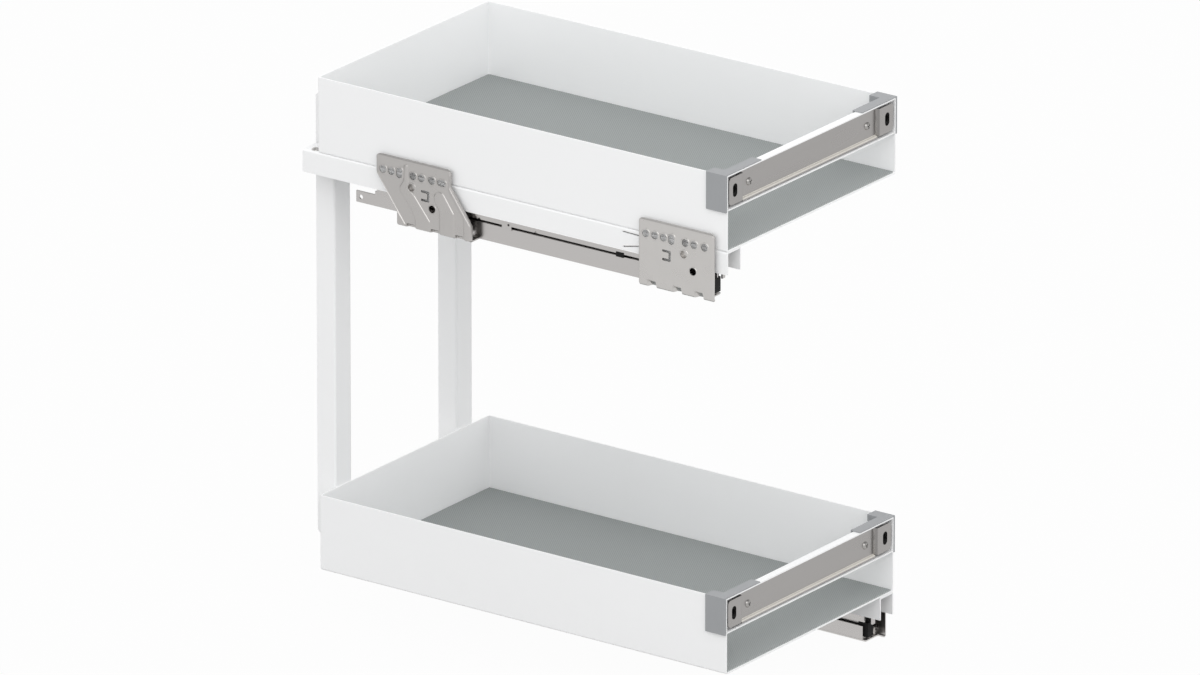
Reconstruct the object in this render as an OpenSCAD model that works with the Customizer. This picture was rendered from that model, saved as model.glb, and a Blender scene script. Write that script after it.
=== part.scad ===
// Pull-out base unit rack: two steel trays on a pair of posts, carried on two
// concealed full-extension ball runners inside a narrow kitchen base cabinet.
// Millimetres. X runs across the cabinet, Y to the back, Z up.
// The origin is under the middle of the rack, at the lowest edge of the plates.

/* [Cabinet] */
// Clear width inside the cabinet, which the runner plates reach across
cabinet_w = 262; // [240:1:462]
// Gap between a tray's side wall and the cabinet side
side_gap = 7; // [6.6:0.1:9]
// Height from the lower tray's underside to the upper tray's
tray_pitch = 384; // [256:32:544]
// How far the rack pulls out
travel = 380; // [300:1:384]

/* [Trays] */
// Depth of a tray from its front edge to the outside of its back wall
tray_d = 434; // [424:1:484]
// Height of a tray's walls
tray_h = 69; // [60:1:120]
// Sheet thickness of the tray and its front rail
sheet_t = 1.2; // [0.8:0.1:1.5]
// Thickness of the anti-slip mat
mat_t = 1.5; // [1:0.1:3]
// Bare floor left round the mat
mat_margin = 1.2; // [0.5:0.1:5]

/* [Front rails and strips] */
// Height of the channel that closes a tray's front
front_rail_h = 32; // [30:0.5:40]
// Depth of that channel
front_rail_d = 8.8; // [8.2:0.1:12]
// Thickness of the steel strip inside the channel
strip_t = 1.5; // [1:0.1:2]
// Gap above and below the strip
strip_gap = 0.8; // [0.4:0.1:1]
// Distance of the strip's face behind the tray's front edge
strip_recess = 4; // [3.6:0.1:4.5]
// How far the strip's lower edge folds forward
strip_lip_out = 2.6; // [1.8:0.1:3]
// Height of the folded lower edge
strip_lip_h = 2.4; // [1.8:0.1:3.5]
// How far each end tab steps forward
tab_step = 3.5; // [2:0.1:3.6]
// Width of an end tab
tab_w = 19.8; // [19:0.1:24]
// Height of an end tab
tab_h = 24.8; // [20:0.1:26.4]
// Corner radius of an end tab
tab_r = 4; // [1:0.5:4.5]
// Gap between an end tab and the tray's side wall
tab_gap = 2; // [0.5:0.1:3]
// Distance of a front panel slot from the tray's outer side
slot_inset = 12; // [11:0.5:14]
// Width of a front panel slot
slot_w = 6.4; // [5:0.1:7]
// Length of a front panel slot
slot_l = 12; // [9:0.5:14]
// Distance of a strip screw from the tray's outer side
strip_screw_inset = 37; // [32:1:60]
// Width of the plastic clip behind an end tab
clip_w = 18.8; // [17:0.1:19]
// Height of that clip
clip_h = 15; // [14:0.5:20]

/* [Corner caps] */
// Wall of a cap
cap_t = 1; // [0.8:0.1:1.5]
// Wall of a cap's outer flange
cap_side_t = 2.2; // [1:0.1:2.5]
// Length of a cap along the tray's side
cap_side_l = 21; // [18:1:30]
// Length of a cap along the front rail
cap_front_l = 50; // [35:1:70]
// Width of a cap's top over the side wall
cap_top_w = 10; // [7:0.5:14]
// Height of a cap's outer flange
cap_flange_h = 34; // [20:1:38]
// Height of a cap's inner lips
cap_lip_h = 5.5; // [3:0.5:8]

/* [Beams and posts] */
// Width of the beam under a tray
beam_w = 20; // [20:0.5:24]
// Height of the beam
beam_h = 20.7; // [19:0.1:23]
// Sheet thickness of beams and posts
frame_t = 1.5; // [1.2:0.1:1.8]
// How far the beam runs out behind the tray
beam_over = 16.5; // [15:0.5:22]
// Width of a post
post_w = 24; // [20:1:34]
// Depth of a post
post_d = 19.7; // [16:0.1:26]
// Distance of a post from the tray's outer side
post_inset = 23.5; // [22:0.5:40]
// Height of a post's foot above the lower tray's underside
post_foot_z = 21; // [12:1:36]
// Height of a post's head above the upper tray's underside
post_head_z = 47; // [40:1:58]
// Chamfer on a post's rear corners
post_chamfer = 5; // [2:0.5:8]
// Thread diameter of the studs on the back walls
stud_d = 5; // [4:0.5:6]

/* [Cabinet plates] */
// Thickness of the runner plates
plate_t = 2; // [1.5:0.1:2.2]
// Height of the pressed ribs and bosses
boss_h = 1.7; // [1.2:0.1:2]
// Height of a plate above the tray's underside
plate_top = 15.2; // [14:0.1:20]
// Corner radius of a plate
plate_r = 5; // [2:0.5:6]
// Distance of the front plate's reference hole behind the tray's front edge
front_hole_y = 40; // [36:0.5:48]
// Distance from the front plate's reference hole to the rear plate's
plate_pitch = 288; // [256:1:290]
// Spacing of the two fixing holes in each plate
fix_pitch = 32; // [32:1:33]
// Diameter of the fixing holes
fix_hole_d = 6; // [5:0.1:6.4]
// Height of the hole row above the tray's underside
hole_row_z = 2; // [0:0.1:3]

/* [Runners] */
// Sheet thickness of the drawer rail and the cabinet rail
rail_t = 1.5; // [1.3:0.1:1.6]
// Width of the drawer rail
drawer_rail_w = 16; // [16:0.1:16.8]
// Height of the drawer rail's outer flange
drawer_rail_h = 24.1; // [22:0.1:24.5]
// Length of the deep part of that flange
drawer_deep_l = 360; // [350:1:362]
// Width of the cabinet rail
cab_rail_w = 12; // [12:0.1:12.6]
// Distance of the cabinet rail's underside below the tray's underside
cab_rail_drop = 44.2; // [44:0.1:48]
// Height of the cabinet rail's outer wall
cab_outer_h = 15.5; // [13:0.1:15.8]
// Height of the cabinet rail's inner wall
cab_inner_h = 12.2; // [11:0.1:15]
// Distance of the cabinet rail's front end behind the tray's front edge
cab_rail_y = 21; // [20:0.5:24]
// Length of the cabinet rail without its tail
cab_rail_l = 325; // [322:1:340]
// Length of the rail's tail
tail_l = 50; // [30:1:60]
// Width of the middle rail's head
mid_head_w = 7.8; // [7.4:0.1:8]
// Height of the middle rail's head
mid_head_h = 14; // [12:0.5:15]
// Width of the middle rail's neck
mid_neck_w = 5.2; // [5:0.1:5.4]
// Sheet thickness of the middle rail
mid_t = 1.2; // [1:0.1:1.3]
// Diameter of the upper balls
upper_ball_d = 3.2; // [3:0.1:3.4]
// Diameter of the lower balls
lower_ball_d = 2.5; // [2.3:0.1:2.7]
// Clearance of a ball in its grooves and its pocket
ball_gap = 0.3; // [0.2:0.05:0.35]
// Thickness of a ball cage
cage_t = 1; // [0.8:0.1:1]
// Clearance between parts that slide past each other
run_gap = 0.45; // [0.3:0.05:0.5]
// Distance between the balls in a cage
ball_pitch = 12; // [8:1:30]

/* [Hidden] */
$fn = 48;
eps = 0.01;

white = [0.93, 0.93, 0.93];
zinc = [0.70, 0.69, 0.68];
bright = [0.80, 0.80, 0.80];
cap_grey = [0.61, 0.62, 0.63];
mat_grey = [0.63, 0.65, 0.65];
black = [0.06, 0.06, 0.06];

// Trays and fronts
tray_w = cabinet_w - 2 * side_gap;
front_rail_z = tray_h - front_rail_h;
front_mid_z = tray_h - front_rail_h / 2;
web_y = front_rail_d - sheet_t;
strip_foot = front_rail_z + sheet_t + strip_gap;
strip_head = tray_h - sheet_t - strip_gap;
tab_x = sheet_t + tab_gap;
tab_ramp = 1.2;
strip_lap = 1.4;
screw_d = 4;
screw_head_d = 7.6;
screw_head_h = 2.3;
head_sink = 1.4;
cross_turn = [20, 110];
cross_size = [3.6, 2.4, 0.9];
hole_gap = 0.1;

// Posts
stud_rise = 10;
stud_gap = 0.25;
stud_out = 7;
nut_across = 8;
nut_h = 4;

// Heights below the tray's underside, top of the runner to its bottom
run_x = beam_w / 2;
web_z = -frame_t - rail_t;
screw_tail = 1;
upper_cage_z = web_z - screw_tail - run_gap;
mid_top_z = upper_cage_z - cage_t - run_gap;
neck_z = mid_top_z - mid_head_h;
upper_ball_z = mid_top_z - mid_head_h / 2;
cab_floor_z = -cab_rail_drop;
lower_cage_z = cab_floor_z + rail_t + run_gap;
mid_foot_z = lower_cage_z + cage_t + run_gap;
lower_ball_up = 7.7;
lower_ball_z = cab_floor_z + lower_ball_up;
flange_z = cab_floor_z - plate_t;

// Ball rows, measured from the runner's middle plane
drawer_in = drawer_rail_w / 2 - rail_t;
upper_ball_x = (drawer_in + mid_head_w / 2) / 2;
cab_in = cab_rail_w / 2 - rail_t;
lower_ball_x = (cab_in + mid_neck_w / 2) / 2;

// Places along the runner
drawer_rail_y = 12;
drawer_rail_l = tray_d + beam_over - 2.5 - drawer_rail_y;
cap_nose = 4.3;
mid_cap_l = 10.3;
plug_l = 6;
mid_cap_y = cab_rail_y - cap_nose;
mid_rail_y = mid_cap_y + mid_cap_l;
mid_rail_back = cab_rail_y + cab_rail_l - 2;
cage_spare = 4;
cage_y = mid_rail_y + travel / 4 + cage_spare;
lower_cage_back = mid_rail_back - travel / 4 - cage_spare;
upper_cage_back = min(mid_rail_back - cage_spare,
                      drawer_rail_y + drawer_rail_l - travel / 4 - cage_spare);
screw_rows = [16, 216];
beam_screw_y = tray_d + 6;
beam_screw_x = 5;
stop_y = 110;
stop_l = 8;
stop_out = 0.6;
stop_grip = 1.4;
stop_drop = 3;
dome_r = 4.6;
dome_sink = 2.4;
dome_head_r = 3.6;
lug_y = 18;
lug_l = 12;
lug_z = -27;
claw_w = 4;
claw_z = -29;
hang_y = 229;
hang_l = 10;
hang_drop = 3.8;
hang_hole_in = 3;
hang_hole_up = 1.1;
hang_hole_d = 2.2;
nick_y = [203, 263];
nick_w = 2.4;
tail_root = 8;
tail_up = 6.3;
tail_z = cab_floor_z + tail_up;
tail_h = 10.3;
tail_shoulder_h = 13.7;
tail_end_l = 20.3;
tail_hole_d = 4;
tongue_y = 86;
tongue_l = 24;
tongue_cut = 1.3;
tongue_edges = [[-5, 1.5], [-13, -12]];

// Plates, with the row's holes measured back from the reference hole
plate_face = boss_h - side_gap;
plate_back = plate_face + plate_t;
flange_in = run_x + cab_rail_w / 2;
bend_r = 3;
rear_hole_y = front_hole_y + plate_pitch;
row_q = [fix_pitch, 23, 0, -9, -20];
front_extra_q = 41.5;
vert_slot_q = 14.5;
flat_slot_q = -30.5;
flat_slot_d = 5;
vert_slot_d = 5.4;
slot_run = 3;
peg_q = 1.6;
peg_z = -10.8;
boss_ring = 1.9;
land_h = 5;
lip_in = 3.3;
front_plate_q = [-29.4, 49.5];
front_flange_back = 7;
rear_top_q = [-39.5, 39.8];
rear_foot_q = [-61.7, 17.7];
rear_shoulder_z = [0, -2];
rear_knee_z = [-31, -33];
rivet_d = 4;
front_rivet_q = [-9, 35];
rear_rivet_q = [-52, 8];
front_guide = [-8.1, -24.3];
rear_guide = [-20.4, -25.9];
front_hook = [15.4, -20.7];
rear_hook = [-17.2, -20.7];
hook_l = 9;
hook_h = 9.5;
hook_cut = 1.6;
notch_l = 10;
notch_h = 2.6;
front_notch_q = [-18.9, 3.8, 30.5];

// The whole rack stands centred over the origin
mid_y = (tray_d + post_d) / 2;
base_z = -flange_z;

// A level is a tray's underside: children sit at the lower or the upper tray
module lower_level() translate([-tray_w / 2, -mid_y, base_z]) children();
module upper_level() translate([-tray_w / 2, -mid_y, base_z + tray_pitch]) children();

// A side's parts are drawn for the left: X grows inward from the tray's outer face
module left_side() upper_level() children();
module right_side() translate([tray_w / 2, -mid_y, base_z]) mirror([1, 0, 0]) children();

// A flat outline in Y and Z, given thickness along X
module plate_along_x(x0, t) translate([x0, 0, 0])
  rotate([90, 0, 90]) linear_extrude(t) children();

// A section in X and Z, run along Y
module run_along_y(y0, l) translate([0, y0 + l, 0])
  rotate([90, 0, 0]) linear_extrude(l) children();

module box(a, b) translate(a) cube(b - a);

module bore_x(x0, l, y, z, d) translate([x0, y, z]) rotate([0, 90, 0]) cylinder(d = d, h = l);
module bore_y(y0, l, x, z, d) translate([x, y0, z]) rotate([-90, 0, 0]) cylinder(d = d, h = l);

// An upright slot along Y through the strip
module panel_slot(x, z) {
  run = slot_l - slot_w;
  for (s = [-1, 1]) bore_y(-eps, 2 * front_rail_d, x, z + s * run / 2, slot_w);
  box([x - slot_w / 2, -eps, z - run / 2], [x + slot_w / 2, 2 * front_rail_d, z + run / 2]);
}

// Places of the studs that hold the posts to one tray's back wall
function stud_x(side) = tray_w / 2 + side * (tray_w / 2 - post_inset - post_w / 2);
function stud_z(post_end, up) = post_end + up * stud_rise;

// The folded tray with its open front, and the studs welded to its back
module tray(post_end, up) color(white) {
  box([0, 0, 0], [tray_w, tray_d, sheet_t]);
  for (x = [0, tray_w - sheet_t]) box([x, 0, 0], [x + sheet_t, tray_d, tray_h]);
  box([0, tray_d - sheet_t, 0], [tray_w, tray_d, tray_h]);
  for (s = [-1, 1]) bore_y(tray_d - sheet_t / 2, stud_out + sheet_t / 2, stud_x(s),
                           stud_z(post_end, up), stud_d);
}
module upper_tray() upper_level() tray(post_head_z, -1);
module lower_tray() lower_level() tray(post_foot_z, 1);

module mat() color(mat_grey) {
  edge = sheet_t + mat_margin;
  box([edge, mat_margin, sheet_t], [tray_w - edge, tray_d - edge, sheet_t + mat_t]);
}
module upper_mat() upper_level() mat();
module lower_mat() lower_level() mat();

// The white channel between the side walls, open to the front
module front_rail() color(white) difference() {
  box([sheet_t, 0, front_rail_z], [tray_w - sheet_t, front_rail_d, tray_h]);
  box([0, -eps, front_rail_z + sheet_t], [tray_w, web_y, tray_h - sheet_t]);
  for (x = [strip_screw_inset, tray_w - strip_screw_inset])
    bore_y(0, 2 * front_rail_d, x, front_mid_z, screw_d + hole_gap);
}
module upper_front_rail() upper_level() front_rail();
module lower_front_rail() lower_level() front_rail();

// Section of the strip: a web with a back flange above and a forward fold below
module strip_section() {
  fold_y = strip_recess - strip_lip_out;
  translate([strip_recess, strip_foot + strip_lip_h - strip_t])
    square([strip_t, strip_head - strip_foot - strip_lip_h + strip_t]);
  translate([strip_recess, strip_head - strip_t]) square([web_y - strip_recess, strip_t]);
  translate([fold_y, strip_foot + strip_lip_h - strip_t]) square([strip_lip_out + strip_t, strip_t]);
  translate([fold_y, strip_foot]) square([strip_t, strip_lip_h]);
}

// One end of the strip, stepped forward and pierced for the front panel
module strip_end() {
  face = strip_recess - tab_step;
  low = front_mid_z - tab_h / 2;
  difference() {
    union() {
      translate([tab_x, face + strip_t, low]) rotate([90, 0, 0]) linear_extrude(strip_t) {
        translate([tab_r, 0]) square([tab_w - tab_r, tab_h]);
        translate([0, tab_r]) square([tab_w, tab_h - 2 * tab_r]);
        for (z = [tab_r, tab_h - tab_r]) translate([tab_r, z]) circle(tab_r);
      }
      translate([tab_x + tab_w, 0, low]) linear_extrude(tab_h) polygon([
        [0, face], [0, face + strip_t], [tab_ramp, strip_recess + strip_t],
        [tab_ramp + strip_lap, strip_recess + strip_t], [tab_ramp + strip_lap, strip_recess]
      ]);
    }
    panel_slot(slot_inset, front_mid_z);
  }
}

module front_strip() color(zinc) {
  end_x = tab_x + tab_w + tab_ramp + strip_lap / 2;
  difference() {
    translate([end_x, 0, 0]) rotate([90, 0, 90]) linear_extrude(tray_w - 2 * end_x) strip_section();
    for (x = [strip_screw_inset, tray_w - strip_screw_inset])
      bore_y(0, 2 * front_rail_d, x, front_mid_z, screw_d + hole_gap);
  }
  strip_end();
  translate([tray_w, 0, 0]) mirror([1, 0, 0]) strip_end();
}
module upper_front_strip() upper_level() front_strip();
module lower_front_strip() lower_level() front_strip();

// A plastic clip behind an end tab, between it and the channel's web, for the panel's screw
module panel_clip() difference() {
  tab_back = strip_recess - tab_step + strip_t;
  box([sheet_t, tab_back, front_mid_z - clip_h / 2], [sheet_t + clip_w, web_y, front_mid_z + clip_h / 2]);
  bore_y(tab_back - eps, web_y - tab_back + 2 * eps, slot_inset, front_mid_z, slot_w);
}
module panel_clips() color(black) {
  panel_clip();
  translate([tray_w, 0, 0]) mirror([1, 0, 0]) panel_clip();
}
module upper_panel_clips() upper_level() panel_clips();
module lower_panel_clips() lower_level() panel_clips();

// A domed cross-head screw whose shank ends flush with the channel's web
module strip_screw(x) difference() {
  union() {
    bore_y(strip_recess - eps, front_rail_d - strip_recess + eps, x, front_mid_z, screw_d);
    intersection() {
      bore_y(strip_recess - screw_head_h, screw_head_h, x, front_mid_z, screw_head_d);
      translate([x, strip_recess + head_sink, front_mid_z]) sphere(screw_head_d / 2);
    }
  }
  for (turn = cross_turn) translate([x, strip_recess - screw_head_h, front_mid_z])
    rotate([0, turn, 0]) cube(cross_size, center = true);
}
module strip_screws() color(bright)
  for (x = [strip_screw_inset, tray_w - strip_screw_inset]) strip_screw(x);
module upper_strip_screws() upper_level() strip_screws();
module lower_strip_screws() lower_level() strip_screws();

// The plastic cap over a tray's front corner, drawn for the left
module corner_cap() color(cap_grey) {
  back = front_rail_d + run_gap + cap_t;
  box([-cap_side_t, 0, tray_h], [cap_front_l, back, tray_h + cap_t]);
  box([-cap_side_t, 0, tray_h], [cap_top_w, cap_side_l, tray_h + cap_t]);
  box([-cap_side_t, 0, tray_h + cap_t - cap_flange_h], [0, cap_side_l, tray_h + cap_t]);
  box([sheet_t + run_gap, back - cap_t, tray_h - cap_lip_h], [cap_front_l, back, tray_h + cap_t]);
  box([cap_top_w - cap_t, back - cap_t, tray_h - cap_lip_h], [cap_top_w, cap_side_l, tray_h + cap_t]);
}
module right_cap() translate([tray_w, 0, 0]) mirror([1, 0, 0]) corner_cap();
module upper_left_cap() upper_level() corner_cap();
module upper_right_cap() upper_level() right_cap();
module lower_left_cap() lower_level() corner_cap();
module lower_right_cap() lower_level() right_cap();

// Section of the beam, an upside-down channel with round shoulders
module beam_section() difference() {
  union() {
    translate([0, -beam_h]) square([beam_w, beam_h - frame_t]);
    translate([frame_t, -frame_t - eps]) square([beam_w - 2 * frame_t, frame_t + eps]);
    for (x = [frame_t, beam_w - frame_t]) translate([x, -frame_t]) circle(frame_t);
  }
  translate([frame_t, -beam_h - eps]) square([beam_w - 2 * frame_t, beam_h - frame_t + eps]);
}

// Holes for the screws that hold the drawer rail up into the beam
module rail_screw_holes(z, t) {
  for (p = concat([for (y = screw_rows) [run_x, drawer_rail_y + y]], [[beam_screw_x, beam_screw_y]]))
    translate([p[0], p[1], z]) cylinder(d = screw_d + hole_gap, h = t);
}

module beam() color(white) difference() {
  run_along_y(0, tray_d + beam_over) beam_section();
  rail_screw_holes(-frame_t - eps, frame_t + 2 * eps);
  for (y = screw_rows) translate([run_x, drawer_rail_y + y, -frame_t])
    cylinder(d1 = screw_d + hole_gap, d2 = screw_d + hole_gap + 2 * frame_t, h = frame_t + eps);
  // the two cuts of the tongue in the side, each with its height and slope
  for (cut = tongue_edges) translate([-eps, tongue_y, cut[0]]) rotate([cut[1], 0, 0])
    cube([frame_t + 2 * eps, tongue_l, tongue_cut]);
}
module left_beam() left_side() beam();
module right_beam() right_side() beam();

// A channel post behind both trays, open to the back
module post(x) color(white) {
  foot = base_z + post_foot_z;
  head = base_z + tray_pitch + post_head_z;
  translate([x, tray_d - mid_y, 0]) difference() {
    plate_along_x(0, post_w) polygon([
      [0, foot], [post_d - post_chamfer, foot], [post_d, foot + post_chamfer],
      [post_d, head - post_chamfer], [post_d - post_chamfer, head], [0, head]
    ]);
    box([frame_t, frame_t, foot - eps], [post_w - frame_t, post_d + eps, head + eps]);
    for (z = [foot + stud_rise, head - stud_rise])
      bore_y(-eps, frame_t + 2 * eps, post_w / 2, z, stud_d + 2 * stud_gap);
  }
}
module left_post() post(post_inset - tray_w / 2);
module right_post() post(tray_w / 2 - post_inset - post_w);

// A hexagon nut on each stud, tight against the post
module post_nuts(post_end, up) color(bright)
  for (s = [-1, 1]) difference() {
    translate([stud_x(s), tray_d + frame_t, stud_z(post_end, up)]) rotate([-90, 30, 0])
      cylinder(d = nut_across / cos(30), h = nut_h, $fn = 6);
    bore_y(tray_d, stud_out + nut_h, stud_x(s), stud_z(post_end, up), stud_d + hole_gap);
  }
module upper_post_nuts() upper_level() post_nuts(post_head_z, -1);
module lower_post_nuts() lower_level() post_nuts(post_foot_z, 1);

// The drawer rail, an upside-down channel that rides on the upper balls
module drawer_rail() color(zinc) difference() {
  half = drawer_rail_w / 2;
  beam_foot = frame_t - beam_h;
  flange_foot = -frame_t - drawer_rail_h;
  rail_end = drawer_rail_y + drawer_rail_l;
  x0 = run_x - half;
  x1 = run_x + half;
  union() {
    box([x0, drawer_rail_y, web_z], [x1, rail_end, -frame_t]);
    box([x0, drawer_rail_y, beam_foot], [x0 + rail_t, rail_end, -frame_t]);
    box([x0, drawer_rail_y, flange_foot], [x0 + rail_t, drawer_rail_y + drawer_deep_l, -frame_t]);
    box([x1 - rail_t, drawer_rail_y, beam_foot], [x1, rail_end, -frame_t]);
    // lug on the inner flange and claw at the front end
    box([x1 - rail_t, lug_y, lug_z], [x1, lug_y + lug_l, -frame_t]);
    box([run_x, drawer_rail_y, claw_z], [run_x + claw_w, drawer_rail_y + rail_t, -frame_t]);
    // tab that hangs outside the cabinet rail
    box([x0, hang_y, flange_foot - hang_drop], [x0 + rail_t, hang_y + hang_l, -frame_t]);
  }
  for (s = [-1, 1])
    bore_y(0, 2 * tray_d, run_x + s * upper_ball_x, upper_ball_z, upper_ball_d + 2 * ball_gap);
  bore_x(x0 - eps, rail_t + 2 * eps, hang_y + hang_hole_in, flange_foot + hang_hole_up, hang_hole_d);
  for (y = nick_y) translate([x0 + rail_t / 2, y, flange_foot]) rotate([45, 0, 0])
    cube([2 * rail_t, nick_w, nick_w], center = true);
  rail_screw_holes(web_z - eps, rail_t + 2 * eps);
}
module left_drawer_rail() left_side() drawer_rail();
module right_drawer_rail() right_side() drawer_rail();

// Two countersunk screws under the tray and a domed one behind it, on each side
module rail_screws() color(bright) {
  tail = web_z - screw_tail;
  for (y = screw_rows) translate([run_x, drawer_rail_y + y, 0]) {
    translate([0, 0, tail]) cylinder(d = screw_d, h = -tail - eps);
    translate([0, 0, -frame_t]) cylinder(d1 = screw_d, d2 = screw_d + 2 * frame_t, h = frame_t - eps);
  }
  translate([beam_screw_x, beam_screw_y, 0]) {
    translate([0, 0, web_z]) cylinder(d = screw_d, h = screw_tail - web_z);
    rotate_extrude() intersection() {
      translate([0, -dome_sink]) circle(dome_r);
      square([dome_head_r, dome_r]);
    }
  }
}
module left_rail_screws() left_side() rail_screws();
module right_rail_screws() right_side() rail_screws();

// The plastic stop clipped under the drawer rail's outer flange
module rail_stop() color(black) difference() {
  x0 = run_x - drawer_rail_w / 2;
  foot = -frame_t - drawer_rail_h;
  box([x0 - stop_out, stop_y, foot - stop_drop], [x0 + rail_t + hole_gap, stop_y + stop_l, foot + stop_grip]);
  box([x0, stop_y - eps, foot], [x0 + 2 * rail_t, stop_y + stop_l + eps, foot + 2 * stop_grip]);
}
module left_rail_stop() left_side() rail_stop();
module right_rail_stop() right_side() rail_stop();

// Section of the cabinet rail, a channel that holds the lower balls
module cab_section(outer_h) difference() {
  translate([run_x - cab_rail_w / 2, cab_floor_z]) {
    square([cab_rail_w, rail_t]);
    square([rail_t, outer_h]);
    translate([cab_rail_w - rail_t, 0]) square([rail_t, cab_inner_h]);
  }
  for (s = [-1, 1]) translate([run_x + s * lower_ball_x, lower_ball_z])
    circle(d = lower_ball_d + 2 * ball_gap);
}

module rivet_places(hole_y, q) for (dq = q) translate([run_x, hole_y + dq, 0]) children();
module all_rivets() {
  rivet_places(front_hole_y, front_rivet_q) children();
  rivet_places(rear_hole_y, rear_rivet_q) children();
}

module cabinet_rail() color(zinc) difference() {
  rail_back = cab_rail_y + cab_rail_l;
  union() {
    run_along_y(cab_rail_y, cab_rail_l) cab_section(cab_outer_h);
    // the outer wall runs on as a tail, high at its root and lower at its end
    box([run_x - cab_rail_w / 2, rail_back - tail_root, tail_z],
        [run_x - cab_rail_w / 2 + rail_t, rail_back + tail_l, tail_z + tail_h]);
    box([run_x - cab_rail_w / 2, rail_back - tail_root, tail_z],
        [run_x - cab_rail_w / 2 + rail_t, rail_back + tail_l - tail_end_l, tail_z + tail_shoulder_h]);
  }
  bore_x(0, run_x, rail_back + tail_l - tail_h / 2, tail_z + tail_h / 2, tail_hole_d);
  all_rivets() translate([0, 0, cab_floor_z - eps]) cylinder(d = rivet_d + hole_gap, h = rail_t + 2 * eps);
}
module left_cabinet_rail() left_side() cabinet_rail();
module right_cabinet_rail() right_side() cabinet_rail();

// Flush rivets between the plates' flanges and the cabinet rail
module plate_rivets() color(bright) all_rivets() {
  translate([0, 0, flange_z]) cylinder(d1 = rivet_d + plate_t, d2 = rivet_d, h = plate_t / 2);
  translate([0, 0, flange_z]) cylinder(d = rivet_d, h = plate_t + rail_t);
}
module left_plate_rivets() left_side() plate_rivets();
module right_plate_rivets() right_side() plate_rivets();

// A round or long hole through a plate, or the raised boss round one
module long_bore(x0, l, y, z, d, run_y = 0, run_z = 0) {
  for (s = [-1, 1]) bore_x(x0, l, y + s * run_y / 2, z + s * run_z / 2, d);
  if (run_y > 0) box([x0, y - run_y / 2, z - d / 2], [x0 + l, y + run_y / 2, z + d / 2]);
  if (run_z > 0) box([x0, y - d / 2, z - run_z / 2], [x0 + l, y + d / 2, z + run_z / 2]);
}

// Every hole of a plate's row: cut = false draws the bosses, cut = true the holes
module row_shape(hole_y, extra_q, cut) {
  x0 = cut ? plate_face - boss_h - eps : plate_face - boss_h;
  l = cut ? boss_h + plate_t + 2 * eps : boss_h + eps;
  ring = cut ? 0 : 2 * boss_ring;
  for (q = concat(row_q, extra_q))
    long_bore(x0, l, hole_y + q, hole_row_z, fix_hole_d + ring);
  long_bore(x0, l, hole_y + vert_slot_q, hole_row_z, vert_slot_d + ring, 0, slot_run);
  long_bore(x0, l, hole_y + peg_q, hole_row_z + peg_z, fix_hole_d + ring);
  if (!cut) for (land = [[row_q[3], row_q[2]], [vert_slot_q, max(concat(row_q, extra_q))]])
    box([x0, hole_y + land[0], hole_row_z - land_h / 2], [x0 + l, hole_y + land[1], hole_row_z + land_h / 2]);
}

// The hooked slot pressed through a plate, open to the back
module hook_slot(y, z) {
  for (dz = [0, hook_h - hook_cut])
    box([plate_face - eps, y, z + dz], [plate_back + eps, y + hook_l, z + dz + hook_cut]);
  box([plate_face - eps, y, z], [plate_back + eps, y + hook_cut, z + hook_h]);
}

// Foot of a plate: the bend, and the flange under the cabinet rail, which starts further back
module plate_foot(y0, y1, set_back = 0) {
  run_along_y(y0, y1 - y0) difference() {
    translate([plate_face + bend_r, flange_z + bend_r]) circle(bend_r);
    translate([plate_face + bend_r, flange_z + bend_r]) circle(bend_r - plate_t);
    translate([plate_face + bend_r, flange_z]) square([bend_r, 2 * bend_r]);
    translate([plate_face, flange_z + bend_r]) square([2 * bend_r, bend_r]);
  }
  run_along_y(y0 + set_back, y1 - y0 - set_back)
    translate([plate_face + bend_r - eps, flange_z]) square([flange_in - plate_face - bend_r + eps, plate_t]);
}

// A notch where the bend is cut away between two ribs
module bend_notch(y0, y1)
  box([plate_face - eps, y0, flange_z - eps], [plate_face + bend_r + 1, y1, flange_z + notch_h]);

// Top edge of a plate, folded in towards the tray
module top_lip(y0, y1) run_along_y(y0, y1 - y0)
  translate([plate_face, plate_top]) polygon([
    [plate_t / 2, -plate_t], [plate_t / 2, 0], [lip_in, 0], [lip_in, -plate_t / 2], [plate_t, -plate_t]
  ]);

module plate_rivet_holes(hole_y, q) rivet_places(hole_y, q) translate([0, 0, flange_z - eps]) {
  cylinder(d = rivet_d + hole_gap, h = plate_t + 2 * eps);
  cylinder(d1 = rivet_d + plate_t + hole_gap, d2 = rivet_d + hole_gap, h = plate_t / 2 + eps);
}

// The dark guide hole low on a plate, and the flat boss round it
module guide_boss(hole_y, place)
  long_bore(plate_face - boss_h, boss_h + eps,
            hole_y + place[0], hole_row_z + place[1], fix_hole_d + boss_ring);
module guide_hole(hole_y, place)
  long_bore(plate_face - boss_h - eps, boss_h + plate_t + 2 * eps,
            hole_y + place[0], hole_row_z + place[1], fix_hole_d);

module front_plate() color(zinc) difference() {
  y0 = front_hole_y + front_plate_q[0];
  y1 = front_hole_y + front_plate_q[1];
  union() {
    plate_along_x(plate_face, plate_t) {
      translate([y0, flange_z + bend_r]) square([y1 - y0, plate_top - plate_r - flange_z - bend_r]);
      translate([y0 + plate_r, 0]) square([y1 - y0 - 2 * plate_r, plate_top]);
      for (y = [y0 + plate_r, y1 - plate_r]) translate([y, plate_top - plate_r]) circle(plate_r);
    }
    top_lip(y0 + plate_r, y1 - plate_r);
    plate_foot(y0, y1, front_flange_back);
    row_shape(front_hole_y, [front_extra_q], false);
    guide_boss(front_hole_y, front_guide);
  }
  row_shape(front_hole_y, [front_extra_q], true);
  guide_hole(front_hole_y, front_guide);
  hook_slot(front_hole_y + front_hook[0], hole_row_z + front_hook[1]);
  for (q = front_notch_q) bend_notch(front_hole_y + q, front_hole_y + q + notch_l);
  plate_rivet_holes(front_hole_y, front_rivet_q);
}
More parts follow.
